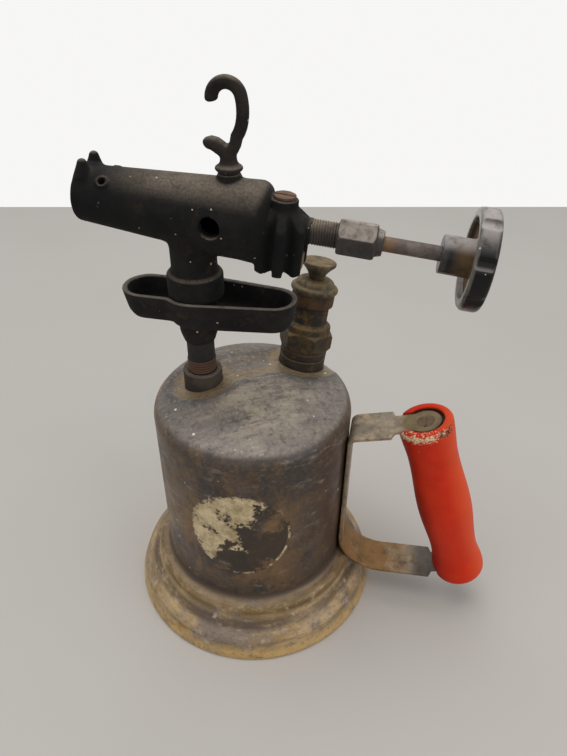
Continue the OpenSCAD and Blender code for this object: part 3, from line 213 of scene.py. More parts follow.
def grid_mesh(name, rows, closed=True):
    """A skin over rows of points in millimetres; a row of one point is the middle of a cap."""
    made = bmesh.new()
    laid = [[made.verts.new(Vector(p) * MM) for p in row] for row in rows]
    pairs = list(zip(laid, laid[1:])) + ([(laid[-1], laid[0])] if closed else [])
    for low, high in pairs:
        for i in range(max(len(low), len(high))):
            ring = [low[i % len(low)], low[(i + 1) % len(low)],
                    high[(i + 1) % len(high)], high[i % len(high)]]
            corners = list(dict.fromkeys(ring))
            if len(corners) > 2:
                made.faces.new(corners)
    bmesh.ops.recalc_face_normals(made, faces=made.faces)
    for face in made.faces:
        face.smooth = True
    mesh = bpy.data.meshes.new(name)
    made.to_mesh(mesh)
    made.free()
    return mesh


def put_in(name, mesh, finish, slot, body, *nodes):
    """A finished piece, in its place on the torch."""
    mesh.materials.clear()
    mesh.materials.append(finish)
    piece = bpy.data.objects.new(name, mesh)
    scene.collection.objects.link(piece)
    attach(piece, body)
    if nodes:
        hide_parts(*nodes)
    return piece


def eased(value, low, high):
    """A share that eases from 0 to 1 between two values."""
    share = min(max((value - low) / (high - low), 0.0), 1.0)
    return share * share * (3 - 2 * share)


def pressed(distance, foot, crest):
    """A share of a hollow's depth: flat at its foot, with a crisp edge at its crest."""
    return 1 - min(max((distance - foot) / (crest - foot), 0.0), 1.0) ** 2


def hollow_at(x, y):
    """How far the tank's top is pressed down: a dish round each fitting and a valley between."""
    here = Vector((x, y))
    run = pump_seat.xy - boss_seat.xy
    along = min(max((here - boss_seat.xy).dot(run) / run.length_squared, 0.0), 1.0)
    at_boss = pressed((here - boss_seat.xy).length, foot=11.0, crest=18.5)
    at_pump = pressed((here - pump_seat.xy).length, foot=13.5, crest=19.5)
    valley = valley_share * pressed((here - boss_seat.xy - run * along).length, foot=3.0, crest=12.5)
    depth = boss_hollow + (pump_hollow - boss_hollow) * along
    return depth * (1 - (1 - at_boss) * (1 - at_pump) * (1 - valley))


def tank_row(radius, height, normal):
    """One ring of the tank's skin, with the hollows and the small dents of a long life."""
    row = []
    for step in range(tank_steps):
        angle = 2 * math.pi * step / tank_steps
        x, y = radius * math.cos(angle), radius * math.sin(angle)
        dent = dent_height * noise.noise(Vector((x, y, height)) / dent_width) - dent_sink
        out = dent * normal[0]
        down = hollow_at(x, y) * eased(height, shoulder_z, shoulder_z + hollow_fade)
        down -= dent * normal[1] * dome_dents
        row.append((x + out * math.cos(angle), y + out * math.sin(angle), height - down))
    return row if radius > 0 else row[:1]


def tank_side(inset):
    """The tank's profile from the foot to the middle of the dome: radius, height, way out."""
    lean = math.asin((tank_r - shoulder_r) / (dome_r - shoulder_r))
    side = [(tank_r - inset, tank_foot + (shoulder_z - tank_foot) * k / wall_steps, (1, 0))
            for k in range(wall_steps)]
    for k in range(shoulder_steps + 1):
        angle = (math.pi / 2 - lean) * k / shoulder_steps
        way = (math.cos(angle), math.sin(angle))
        side.append((tank_r - shoulder_r + (shoulder_r - inset) * way[0],
                     shoulder_z + (shoulder_r - inset) * way[1], way))
    for k in range(1, dome_steps + 1):
        angle = lean * (1 - k / dome_steps)
        way = (math.sin(angle), math.cos(angle))
        side.append(((dome_r - inset) * way[0], dome_base + (dome_r - inset) * way[1], way))
    return side


def bored(mesh, *bores):
    """The mesh with round holes drilled: each a point, a direction, a radius and a length."""
    blank = bpy.data.objects.new("blank", mesh)
    scene.collection.objects.link(blank)
    drills = []
    for point, way, radius, length in bores:
        made = bmesh.new()
        bmesh.ops.create_cone(made, cap_ends=True, segments=96, radius1=radius * MM,
                              radius2=radius * MM, depth=length * MM)
        turn = Vector(way).to_track_quat("Z", "Y").to_matrix().to_4x4()
        bmesh.ops.transform(made, matrix=Matrix.Translation(Vector(point) * MM) @ turn, verts=made.verts)
        drill_mesh = bpy.data.meshes.new("drill")
        made.to_mesh(drill_mesh)
        made.free()
        drill = bpy.data.objects.new("drill", drill_mesh)
        scene.collection.objects.link(drill)
        drills.append(drill)
        cut = blank.modifiers.new("hole", "BOOLEAN")
        cut.operation = "DIFFERENCE"
        cut.solver = "EXACT"
        cut.object = drill
    drilled = bpy.data.meshes.new_from_object(blank.evaluated_get(bpy.context.evaluated_depsgraph_get()))
    for spare in (blank, *drills):
        bpy.data.objects.remove(spare)
    return drilled


def effect(name, inputs, outputs):
    """A node group with plain number sockets: its nodes, its inner ends and its results."""
    group = bpy.data.node_groups.new(name, "ShaderNodeTree")
    for label, start in inputs.items():
        socket = group.interface.new_socket(label, in_out="INPUT", socket_type="NodeSocketFloat")
        socket.default_value = start
    for label in outputs:
        group.interface.new_socket(label, in_out="OUTPUT", socket_type="NodeSocketFloat")
    return (Nodes(group), group.nodes.new("NodeGroupInput").outputs,
            group.nodes.new("NodeGroupOutput").inputs)


# Stains in soft patches, drawn out along the height by Stretch
stains, ends, results = effect("stains", {"Scale": 40.0, "Stretch": 1.0, "Low": 0.4, "High": 0.6,
                                          "Seed": 0.0}, ["Mask"])
stretched = stains.add("VectorMath", operation="MULTIPLY", In0=stains.here(),
                       In1=stains.add("CombineXYZ", X=1.0, Y=1.0, Z=ends["Stretch"]))
patches = stains.cloud(ends["Scale"], 10.0, 0.68, at=stretched, noise_dimensions="4D", W=ends["Seed"])
stains.put(stains.ramp(patches, ends["Low"], ends["High"]), results["Mask"])

# Bare metal on edges and dirt in corners, both broken up by a fine grain
rubbed, ends, results = effect("rubbed_edges", {"Low": 0.02, "High": 0.08, "Scale": 300.0,
                                                "Break": 0.08}, ["Edges", "Corners"])
grit = rubbed.reckon("SUBTRACT", rubbed.cloud(ends["Scale"], 4.0, 0.6), 0.5)
grit = rubbed.times(grit, ends["Break"])
bent = rubbed.reckon("ADD", rubbed.add("NewGeometry", out="Pointiness"), grit)
bent = rubbed.reckon("SUBTRACT", bent, 0.5)
rubbed.put(rubbed.ramp(bent, ends["Low"], ends["High"]), results["Edges"])
hollowed = rubbed.times(bent, -1.0)
rubbed.put(rubbed.ramp(hollowed, ends["Low"], ends["High"]), results["Corners"])

# Dust that has settled on whatever faces up
dust, ends, results = effect("settled_dust", {"Low": 0.3, "High": 0.95, "Scale": 120.0}, ["Mask"])
lying = dust.ramp(dust.cloud(ends["Scale"], 6.0, 0.7), 0.18, 0.56)
level_share = dust.ramp(dust.facing_up(), ends["Low"], ends["High"])
dust.put(dust.times(level_share, lying), results["Mask"])

# Flecks of spilt pale paint, few and small
flecks, ends, results = effect("paint_flecks", {"Scale": 160.0, "Size": 0.16, "Share": 0.05}, ["Mask"])
cells = flecks.tree.nodes.new("ShaderNodeTexVoronoi")
flecks.put(flecks.here(), cells.inputs["Vector"])
flecks.put(ends["Scale"], cells.inputs["Scale"])
chance = flecks.add("SeparateXYZ", out="X", Vector=cells.outputs["Color"])
size = flecks.add("SeparateXYZ", out="Y", Vector=cells.outputs["Color"])
size = flecks.times(ends["Size"], size)
spot = flecks.reckon("LESS_THAN", cells.outputs["Distance"], size)
chosen = flecks.reckon("LESS_THAN", chance, ends["Share"])
flecks.put(flecks.times(spot, chosen), results["Mask"])


class Finish(Nodes):
    """A material laid on in tones, each over the last, and closed with its roughness and relief."""

    def __init__(self, name, metallic=0.0):
        self.material = bpy.data.materials.new(name)
        self.material.use_nodes = True
        super().__init__(self.material.node_tree)
        self.shader = self.tree.nodes["Principled BSDF"].inputs
        self.shader["Metallic"].default_value = metallic

    def ground(self, one, other, *shares):
        """Starts with a tone, and another one by the shares multiplied."""
        self.tone = self.mixed(self.reckon("MULTIPLY", *shares), one, other)

    def lay(self, above, *shares):
        """Lays a tone over what is there, by the shares multiplied."""
        self.ground(self.tone, above, *shares)

    def close(self, roughness, strength, depth, relief):
        """Ties the tones, the roughness and a relief so many metres deep to the shader."""
        self.put(self.tone, self.shader["Base Color"])
        self.put(roughness, self.shader["Roughness"])
        self.put(self.add("Bump", Strength=strength, Distance=depth, Height=relief), self.shader["Normal"])
        return self.material

    def part(self, axis):
        """How far the point lies along X, Y or Z."""
        return self.add("SeparateXYZ", out=axis, Vector=self.here())

    def round_tank(self):
        """The angle round the tank's middle line, from the front."""
        return self.add("Math", operation="ARCTAN2", In0=self.part("X"), In1=self.times(self.part("Y"), -1.0))

    def measure(self, operation, one, other):
        """A value from two vectors, such as their DISTANCE."""
        return self.add("VectorMath", out="Value", operation=operation, In0=one, In1=other)

    def along(self, start, way):
        """How far along a line the point lies, in metres; the start is in millimetres."""
        apart = self.add("VectorMath", operation="SUBTRACT", In0=self.here(), In1=start * MM)
        return self.measure("DOT_PRODUCT", apart, way)

    def off(self, start, way):
        """How far off that line the point lies."""
        apart = self.add("VectorMath", operation="SUBTRACT", In0=self.here(), In1=start * MM)
        aside = self.add("VectorMath", operation="CROSS_PRODUCT", In0=apart, In1=way)
        return self.add("VectorMath", out="Value", operation="LENGTH", In0=aside)

    def stains(self, scale, low, high, seed=0.0, stretch=1.0):
        """The share of stains, which start at a low level of the noise and are full at a high one."""
        return self.add("Group", node_tree=stains.tree, Scale=scale, Low=low, High=high, Seed=seed,
                        Stretch=stretch)

    def edges(self, low, high, ragged=0.08, out="Edges"):
        """The share of wear on sharp edges."""
        return self.add("Group", out=out, node_tree=rubbed.tree, Low=low, High=high, Break=ragged)

    def corners(self, low, high, ragged=0.08):
        """The share of dirt in inner corners."""
        return self.edges(low, high, ragged, out="Corners")

    def dust(self, low, high, scale=120.0):
        """The share of dust where the surface faces up."""
        return self.add("Group", node_tree=dust.tree, Low=low, High=high, Scale=scale)

    def flecks(self, scale, size, share):
        """The share of spilt paint, all or nothing."""
        return self.add("Group", node_tree=flecks.tree, Scale=scale, Size=size, Share=share)


tank_rows = [tank_row(*ring) for ring in tank_side(0.0)]
tank_rows += [tank_row(*ring) for ring in reversed(tank_side(tank_sheet))]
tank_mesh = bored(grid_mesh("drawn_tank", tank_rows), (boss_seat, (0, 0, 1), boss_hole_r, hole_length),
                  (pump_seat, pump_axis, pump_hole_r, hole_length))

brass = Finish("aged_tank_brass", 0.3)
on_top = brass.ramp(brass.facing_up(), 0.6, 0.87)
height, side_x, round_angle = brass.part("Z"), brass.part("X"), brass.round_tank()
brass.ground(tone(114, 88, 60), tone(82, 71, 68), brass.stains(30.0, 0.42, 0.6, stretch=0.8))
brass.lay(tone(132, 101, 62), brass.stains(70.0, 0.48, 0.68, seed=3.0, stretch=0.35))
brass.lay(tone(54, 46, 44), brass.stains(48.0, 0.5, 0.64, seed=7.0, stretch=0.8))
brass.lay(tone(126, 113, 97), brass.ramp(brass.cloud(55.0, 12.0, 0.8), 0.52, 0.68))
# Painted shade: the wall turns darker and browner toward the handle's side.
brass.lay(tone(66, 49, 34), brass.ramp(round_angle, 0.35, 1.1), 0.7)
# Painted shade: a dark band on the front of the wall just under the shoulder, broken up in blotches; the same
# tone darkens the wall toward its foot.
front = brass.add("Math", operation="ABSOLUTE", In0=brass.reckon("SUBTRACT", round_angle, 0.2))
front = brass.ramp(front, 1.35, 0.5)
shade_under_shoulder = brass.times(brass.ramp(height, 0.084, 0.11), brass.ramp(height, 0.1345, 0.13), front, 0.85)
darker_at_foot = brass.times(brass.ramp(height, 0.05, 0.036), 0.45)
blotches = brass.ramp(brass.cloud(42.0, 10.0, 0.74), 0.36, 0.56)
brass.lay(tone(50, 47, 46), blotches, brass.reckon("MAXIMUM", darker_at_foot, shade_under_shoulder))
brass.lay(tone(136, 126, 114), brass.stains(75.0, 0.55, 0.68, seed=17.0, stretch=2.6), 0.7)
wall_tone = brass.tone

# The top is worn pale in the middle, wiped in one direction, and silted up round the fittings
worn_middle = brass.ramp(brass.measure("DISTANCE", brass.here(), (0.006, -0.01, 0.139)), 0.036, 0.012, 0.25)
mottled = brass.ramp(brass.cloud(38.0, 12.0, 0.76), 0.4, 0.6)
brass.ground(tone(118, 110, 104), tone(170, 158, 140), mottled, worn_middle)
shaded = brass.cloud(60.0, 12.0, 0.78, noise_dimensions="4D", W=4.0)
brass.lay(tone(86, 81, 82), brass.ramp(shaded, 0.5, 0.68), 0.75)
brass.lay(tone(90, 84, 82), brass.ramp(side_x, -0.008, -0.034), 0.45)
brass.lay(tone(196, 180, 152), brass.stains(480.0, 0.55, 0.68, seed=5.0),
          brass.stains(40.0, 0.42, 0.6, seed=23.0), 0.9)
to_boss = brass.measure("DISTANCE", brass.here(), boss_seat * MM)
to_pump = brass.measure("DISTANCE", brass.here(), pump_seat * MM)
valley_way = (pump_seat - boss_seat).normalized()
valley_side = Vector((-valley_way.y, valley_way.x, 0.0)).normalized()
valley_end = brass.add("Math", operation="ABSOLUTE", In0=brass.reckon("ADD", side_x, 0.003))
to_valley = brass.reckon("MAXIMUM", brass.reckon("SUBTRACT", brass.off(boss_seat, valley_way), 0.0122),
                         brass.reckon("SUBTRACT", valley_end, 0.024))
waver = brass.times(brass.reckon("SUBTRACT", brass.cloud(90.0, 5.0), 0.5), 0.005)
crest = brass.reckon("MINIMUM", brass.reckon("SUBTRACT", to_boss, 0.0178),
                     brass.reckon("SUBTRACT", to_pump, 0.019), to_valley)
crest = brass.reckon("ADD", crest, waver)
beyond = brass.reckon("ADD", brass.along(boss_seat, valley_side), waver)
brass.lay(tone(92, 79, 64), brass.ramp(beyond, -0.003, 0.006, 0.0, 0.7))
# Painted shade: a dark grey band just outside the crest of the hollows.
brass.lay(tone(74, 71, 73), brass.ramp(crest, 0.0075, 0.001), brass.ramp(crest, -0.0005, 0.0005), 0.6)
silted = brass.reckon("MAXIMUM", brass.ramp(to_boss, 0.0175, 0.0135), brass.ramp(to_pump, 0.0205, 0.0165),
                      brass.ramp(beyond, 0.001, -0.006))
brass.lay(tone(142, 119, 82), silted, brass.ramp(crest, 0.0004, -0.0014),
          brass.stains(160.0, 0.2, 0.55, seed=11.0), 0.9)
wiped_along = brass.measure("DOT_PRODUCT", brass.here(), (0.17, 0.09, 0.0))
wiped_across = brass.measure("DOT_PRODUCT", brass.here(), (-0.47, 0.88, 0.0))
wiped = brass.cloud(230.0, 10.0, 0.75, at=brass.add("CombineXYZ", X=wiped_along, Y=wiped_across))
brass.lay(tone(64, 61, 63), brass.ramp(wiped, 0.52, 0.64, 0.0, 0.65))
brass.lay(tone(178, 165, 143), brass.ramp(wiped, 0.48, 0.37, 0.0, 0.9), worn_middle)
brass.ground(wall_tone, brass.tone, on_top)
brass.lay(tone(162, 151, 133), brass.stains(460.0, 0.5, 0.66, seed=19.0),
          brass.ramp(on_top, 0.0, 1.0, 0.14, 0.5))
brass.lay(tone(58, 52, 48), brass.stains(380.0, 0.5, 0.64, seed=21.0),
          brass.ramp(on_top, 0.0, 1.0, 0.25, 0.5))

# A worn-off plain oval transfer on the front: cream flakes on the left, brown varnish on the right
oval_turn, oval_z = 0.085, 0.0785
oval_half = (0.0262, 0.0285)
label_x = brass.times(brass.reckon("SUBTRACT", round_angle, oval_turn), tank_r * MM / oval_half[0])
label_z = brass.reckon("DIVIDE", brass.reckon("SUBTRACT", height, oval_z), oval_half[1])
oval = brass.reckon("ADD", brass.times(label_x, label_x), brass.times(label_z, label_z))
oval = brass.add("Math", operation="SQRT", In0=oval)
ragged = brass.times(brass.reckon("SUBTRACT", brass.cloud(340.0, 8.0, 0.75), 0.5), 0.42)
in_oval = brass.ramp(brass.reckon("ADD", oval, ragged), 1.0, 0.96)
flaked = brass.times(brass.reckon("SUBTRACT", brass.times(label_z, 0.75), label_x), 0.2)
flaked = brass.reckon("ADD", flaked, brass.cloud(75.0, 6.0, 0.68))
gone = brass.cloud(110.0, 9.0, 0.72, noise_dimensions="4D", W=6.0)
cream = brass.times(in_oval, brass.ramp(flaked, 0.51, 0.55), brass.ramp(gone, 0.4, 0.46))
border = brass.times(brass.ramp(oval, 0.94, 0.97), brass.ramp(oval, 1.02, 0.99), brass.ramp(gone, 0.5, 0.56))
cream_tone = brass.mixed(brass.stains(130.0, 0.4, 0.66, seed=13.0), tone(220, 201, 164), tone(162, 141, 101))
brass.lay(tone(50, 40, 30), in_oval, brass.ramp(brass.cloud(55.0, 5.0, 0.65), 0.4, 0.48), 0.85)
brass.lay(cream_tone, brass.reckon("MAXIMUM", cream, border))
spilt = brass.flecks(210.0, 0.16, 0.2)
brass.lay(tone(214, 210, 200), spilt)
matt = brass.times(brass.reckon("MAXIMUM", brass.times(on_top, 0.6), cream), 0.16)
gloss = brass.ramp(brass.stains(70.0, 0.3, 0.7, seed=15.0), 0.0, 1.0, 0.34, 0.52)
relief = brass.reckon("ADD", brass.cloud(420.0, 4.0), brass.times(brass.reckon("ADD", cream, spilt), 0.8))
tank_brass = brass.close(brass.reckon("ADD", gloss, matt), 0.28, 0.0003, relief)
put_in("drawn_tank", tank_mesh, tank_brass, "tank_brass", "torch", "tank_shell")


# The base is a brass skirt, spun in one piece: a sleeve round the tank, a step, a cove that
# flares out and a rolled rim. It is soldered on; a painted highlight lies along the rim where it stands out.
def solid(cad_name):
    """The form of one of the solids, to be worked on."""
    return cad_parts[cad_name].data.copy()


def worked(form, name, voxel, rounds, filling=0, kept=()):
    """A form as it left the shop: edges rubbed round and, on a casting, the inner corners filled
    except near the kept holes, each a point and a reach, over a fine even skin."""
    rough = bpy.data.objects.new("rough", form)
    scene.collection.objects.link(rough)
    skin = rough.modifiers.new("skin", "REMESH")
    skin.mode = "VOXEL"
    skin.voxel_size = voxel * MM
    mesh = bpy.data.meshes.new_from_object(rough.evaluated_get(bpy.context.evaluated_depsgraph_get()))
    bpy.data.objects.remove(rough)
    mesh.name = name
    count = len(mesh.vertices)
    place = np.empty(count * 3)
    mesh.vertices.foreach_get("co", place)
    place = place.reshape(-1, 3)
    edges = np.empty(len(mesh.edges) * 2, np.int64)
    mesh.edges.foreach_get("vertices", edges)
    one, other = edges.reshape(-1, 2).T
    share = 1 / np.bincount(edges, minlength=count)[:, None]
    out = np.empty(count * 3)
    fills = np.ones(count)
    smoothing = 0.5
    normals_every = 5
    for point, reach in kept:
        fills[np.linalg.norm(place - np.array(point) * MM, axis=1) < reach * MM] = 0
    for turn in range(rounds + filling):
        sums = [np.bincount(one, place[other, k], count) + np.bincount(other, place[one, k], count)
                for k in range(3)]
        move = (np.stack(sums, 1) * share - place) * smoothing
        if turn >= rounds:
            if (turn - rounds) % normals_every == 0:
                mesh.vertices.foreach_set("co", place.ravel())
                mesh.update()
                mesh.vertex_normals.foreach_get("vector", out)
            way = out.reshape(-1, 3)
            move = way * (np.clip((move * way).sum(1), 0, None) * fills)[:, None]
        place = place + move
    mesh.vertices.foreach_set("co", place.ravel())
    mesh.update()
    mesh.shade_smooth()
    return mesh


skirt = Finish("spun_skirt_brass", 0.4)
height = skirt.part("Z")
flat = skirt.add("VectorMath", operation="MULTIPLY", In0=skirt.here(), In1=(1.0, 1.0, 0.0))
radius = skirt.add("VectorMath", out="Value", operation="LENGTH", In0=flat)
lathe_lines = skirt.add("CombineXYZ", X=radius, Y=height, Z=skirt.times(skirt.round_tank(), 0.012))
lathe_lines = skirt.cloud(190.0, 5.0, 0.6, at=lathe_lines)
skirt.ground(tone(146, 122, 90), tone(186, 160, 120), skirt.ramp(lathe_lines, 0.38, 0.62))
skirt.lay(tone(132, 117, 104), skirt.stains(34.0, 0.46, 0.6, seed=2.0))
skirt.lay(tone(158, 128, 68), skirt.stains(75.0, 0.52, 0.66, seed=4.0))
in_cove = skirt.times(skirt.ramp(height, 0.0145, 0.0172), skirt.ramp(height, 0.0215, 0.0187))
skirt.lay(tone(62, 47, 34), in_cove, skirt.stains(40.0, 0.3, 0.55, seed=8.0), 0.75)
# Painted highlight: ochre along the crest of the step.
step_highlight = skirt.times(skirt.ramp(height, 0.0225, 0.0245), skirt.ramp(height, 0.0285, 0.0268))
skirt.lay(tone(124, 100, 60), step_highlight, skirt.stains(50.0, 0.34, 0.54, seed=10.0))
# Painted highlight: a light ochre band along the rolled rim.
skirt.lay(tone(204, 170, 112), skirt.ramp(radius, 0.0676, 0.0696), skirt.stains(45.0, 0.3, 0.55, seed=6.0))
streaks = skirt.add("VectorMath", operation="MULTIPLY_ADD", In1=(0.022, 0.022, 0.0),
                    In0=skirt.add("VectorMath", operation="NORMALIZE", In0=flat),
                    In2=skirt.add("CombineXYZ", Z=skirt.reckon("SUBTRACT", radius, height)))
streaks = skirt.cloud(150.0, 12.0, 0.78, at=streaks)
skirt.lay(tone(84, 68, 52), skirt.ramp(streaks, 0.51, 0.66, 0.0, 0.6))
skirt.lay(tone(184, 162, 128), skirt.ramp(streaks, 0.48, 0.36, 0.0, 0.6))
skirt.lay(tone(84, 70, 55), skirt.stains(420.0, 0.5, 0.64, seed=12.0), 0.4)
skirt.lay(tone(190, 174, 150), skirt.stains(130.0, 0.56, 0.68, seed=14.0), 0.65)
sleeve = skirt.reckon("ADD", height, skirt.times(lathe_lines, 0.003))
skirt.lay(tone(74, 62, 53), skirt.ramp(sleeve, 0.0268, 0.0325))
skirt.lay(tone(74, 60, 46), skirt.corners(0.01, 0.05, 0.03))
skirt.lay(tone(206, 200, 184), skirt.flecks(230.0, 0.13, 0.12))
skirt_brass = skirt.close(skirt.ramp(lathe_lines, 0.3, 0.7, 0.38, 0.58), 0.3, 0.0004, lathe_lines)
skirt_mesh = worked(solid("base_skirt"), "spun_skirt", voxel=0.55, rounds=4)
lip_foot, lip_top = 27.5, 32.8
lip_reach = 4
lip_sink = 0.35
for point in skirt_mesh.vertices:
    out = point.co.xy.length / MM
    lean_in = eased(point.co.z / MM, lip_foot, lip_top) if out < tank_r + lip_reach else 0.0
    point.co.xy *= 1 + (tank_r - lip_sink - out) / out * lean_in
put_in("spun_skirt", skirt_mesh, skirt_brass, "base_brass", "torch", "base_skirt")


# The bottom is a shallow brass funnel soldered inside the tank's foot, with a turned bush at its
# middle, a leather washer and a screw plug with a cross bar that closes the filling hole.
def refinish(finish, *nodes):
    """Gives the solid's own pieces their finish."""
    for name in nodes:
        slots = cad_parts[name].data.materials
        slots.clear()
        slots.append(finish)


bottom = Finish("dull_bottom_brass", 0.4)
bottom.ground(tone(126, 104, 68), tone(88, 74, 56), bottom.stains(45.0, 0.38, 0.64))
bottom.lay(tone(178, 160, 128), bottom.flecks(260.0, 0.15, 0.08))
bottom_brass = bottom.close(bottom.stains(90.0, -0.6, 1.4, seed=2.0), 0.2, 0.0002, bottom.cloud(500.0, 4.0))

lathe = Finish("turned_brass", 0.6)
lathe.ground(tone(168, 138, 84), tone(120, 98, 62), lathe.stains(120.0, 0.35, 0.65))
turned_brass = lathe.close(lathe.stains(260.0, -0.5, 1.6, seed=2.0), 0.15, 0.0001, lathe.cloud(900.0, 3.0))

hide = Finish("oiled_leather")
pores = hide.add("TexVoronoi", Vector=hide.here(), Scale=1400.0)
hide.ground(tone(92, 60, 36), tone(60, 38, 24), hide.stains(200.0, 0.35, 0.65))
hide.lay(tone(44, 28, 18), hide.ramp(pores, 0.5, 0.8))
oiled_leather = hide.close(hide.ramp(pores, 0.0, 1.0, 0.5, 0.75), 0.3, 0.0002, pores)

refinish(bottom_brass, "tank_bottom")
refinish(turned_brass, "filler_bush", "filler_plug")
refinish(oiled_leather, "filler_gasket", "pump_gasket", "cup_leather")


# The boss is a short iron bush brazed into the tank's top, and the feed pipe is quarter-inch iron
# pipe screwed into it, with the last turns of its thread left bare and rusty.
def spun(name, start, way, profile, lift, around=96):
    """A piece turned on a lathe along a way from a start: a closed profile of distance along and
    radius, with a lift of the radius by distance and angle where a thread is cut."""
    turn = Vector(way).normalized().to_track_quat("Z", "Y").to_matrix()
    rows = []
    for along, radius in profile:
        row = []
        for step in range(around):
            angle = 2 * math.pi * step / around
            reach = radius + lift(along, radius, angle)
            place = Vector((reach * math.cos(angle), reach * math.sin(angle), along))
            row.append(Vector(start) + turn @ place)
        rows.append(row)
    return grid_mesh(name, rows)


def thread_lift(foot, top, skin_r, depth, pitch):
    """A screw thread between two heights, on the outer skin only, run out at both ends."""
    def lift(along, radius, angle):
        if radius < skin_r - 0.01:
            return 0.0
        run = eased(along, foot, foot + pitch * 0.5) * (1 - eased(along, top - pitch, top))
        turn = (along / pitch - angle / (2 * math.pi)) % 1.0
        return depth * run * (1 - abs(2 * turn - 1) ** 1.5)
    return lift


def iron_finish(name, dark, light, dusty, more=None):
    """Old cast iron: blotched black and brown, dusty on top, rubbed on its edges and specked with
    paint; more lays further tones over it."""
    iron = Finish(name, 0.1)
    iron.ground(dark, light, iron.stains(60.0, 0.4, 0.62))
    iron.lay(tone(64, 47, 36), iron.stains(110.0, 0.54, 0.72, seed=3.0))
    iron.lay(tone(74, 69, 65), iron.stains(620.0, 0.62, 0.72, seed=7.0))
    grains = iron.ramp(iron.cloud(800.0, 8.0, 0.75), 0.36, 0.62)
    iron.lay(tone(124, 113, 100), iron.dust(0.42, 1.0, 75.0), iron.ramp(grains, 0.0, 1.0, dusty * 0.6, dusty))
    iron.lay(tone(88, 80, 74), iron.edges(0.06, 0.18), 0.5)
    iron.lay(tone(180, 172, 160), iron.flecks(240.0, 0.14, 0.36))
    if more:
        more(iron)
    iron.shader["Specular IOR Level"].default_value = 0.22
    return iron.close(iron.stains(150.0, -1.4, 1.0, seed=5.0), 0.5, 0.0006, iron.cloud(600.0, 6.0, 0.62))


def rework(cad_name, name, finish, slot, voxel, rounds, filling=0, body="torch"):
    """One of the solids with its edges worked, in place of the plain one."""
    put_in(name, worked(solid(cad_name), name, voxel, rounds, filling), finish, slot, body, cad_name)


pipe_r = 6.75
pipe_bore_r = 4.5
pipe_foot = 129.35
pipe_top = 186.83
pipe_thread = (142.4, 150.6)
pipe_step = 0.16
pipe_line = (Vector((boss_seat.x, 0.0, 0.0)), Vector((0.0, 0.0, 1.0)))
pipe = Finish("rusty_pipe_iron", 0.15)
pipe.ground(tone(30, 28, 27), tone(44, 39, 36), pipe.stains(140.0, 0.4, 0.62))
rust = pipe.mixed(pipe.ramp(pipe.off(*pipe_line), 0.00678, 0.00708), tone(30, 22, 18), tone(98, 70, 51))
pipe.lay(rust, pipe.ramp(pipe.along(*pipe_line), 0.1525, 0.1495), pipe.stains(200.0, 0.1, 0.4, seed=4.0))
rusty_pipe = pipe.close(pipe.stains(150.0, -1.4, 1.0, seed=5.0), 0.35, 0.0004, pipe.cloud(700.0, 5.0))
pipe_steps = [pipe_foot, 140.0] + [141.0 + pipe_step * k for k in range(66)] + [155.0, 170.0, pipe_top]
pipe_profile = [(z, pipe_r) for z in pipe_steps] + [(pipe_top, pipe_bore_r), (pipe_foot, pipe_bore_r)]
pipe_mesh = spun("iron_feed_pipe", *pipe_line, pipe_profile,
                 thread_lift(*pipe_thread, skin_r=pipe_r, depth=0.42, pitch=1.41))
put_in("iron_feed_pipe", pipe_mesh, rusty_pipe, "rusty_steel", "torch", "feed_pipe")
boss_iron = iron_finish("dusty_boss_iron", tone(56, 50, 46), tone(80, 71, 63), 0.9)
rework("burner_boss", "iron_boss", boss_iron, "black_iron", voxel=0.3, rounds=14)


# The suction tube hangs from the pipe into the tank, a thin brass tube packed with a cotton wick.
# More of the cotton packs the valve's spindle.
wick = Finish("soaked_cotton")
strands = wick.add("TexWave", Vector=wick.here(), Scale=500.0, Distortion=4.0, Detail=3.0)
wick.ground(tone(150, 132, 98), tone(186, 170, 136), strands)
refinish(wick.close(wick.ramp(strands, 0.0, 1.0, 0.8, 0.95), 0.4, 0.0003, strands), "wick", "packing")
refinish(turned_brass, "suction_tube")


# The priming pan is a small iron casting that screws on the pipe: a dish with a short lobe under
# the muzzle and a long end toward the pump, burnt black inside and rubbed bright along its rim.
def rubbed_rim(iron):
    """Bare grey iron along the top of the pan's wall."""
    iron.lay(tone(118, 111, 102), iron.ramp(iron.part("Z"), 0.1852, 0.1863),
             iron.ramp(iron.facing_up(), 0.3, 0.8), iron.stains(190.0, 0.22, 0.56, seed=9.0))


pan_iron = iron_finish("burnt_pan_iron", tone(22, 21, 21), tone(36, 34, 33), 0.2, rubbed_rim)
rework("priming_pan", "cast_pan", pan_iron, "black_iron", voxel=0.5, rounds=14, filling=40)


# The burner is one iron casting: the flame tube with its air holes and two ears, the stem that
# stands in the pan, the finned vaporizer behind and the neck for the valve, threaded for its nut.
burner_at = Vector((-26.0, 0.0, 224.64))
burner_way = Vector((0.996345, 0.0, -0.085417))
burner_up = Vector((0.085417, 0.0, 0.996345))
air_hole_at = burner_at + burner_way * 13.0
vent_at = burner_at - burner_way * 35.0 + burner_up * 9.5
open_holes = [(air_hole_at + Vector((0.0, side * 16.0, 0.0)), 8.5) for side in (-1, 1)]
open_holes += [(vent_at + Vector((0.0, side * 8.8, 0.0)), 4.6) for side in (-1, 1)]
neck_r = 4.95
neck_core_r = 4.6
neck_rough_r = 7.0
neck_cover = 0.02
neck_thread = (53.0, 66.5)
neck_step = 0.12


def sooted(iron):
    """Soot inside the flame tube and its air holes, and between the fins."""
    along, off = iron.along(burner_at, burner_way), iron.off(burner_at, burner_way)
    inside = iron.times(iron.ramp(off, 0.0152, 0.0122), iron.ramp(along, 0.03, 0.027))
    fins = iron.times(iron.ramp(along, 0.031, 0.034), iron.ramp(along, 0.054, 0.051),
                      iron.ramp(iron.part("Z"), 0.236, 0.23), 0.9)
    iron.lay(tone(13, 13, 13), iron.reckon("MAXIMUM", inside, fins))


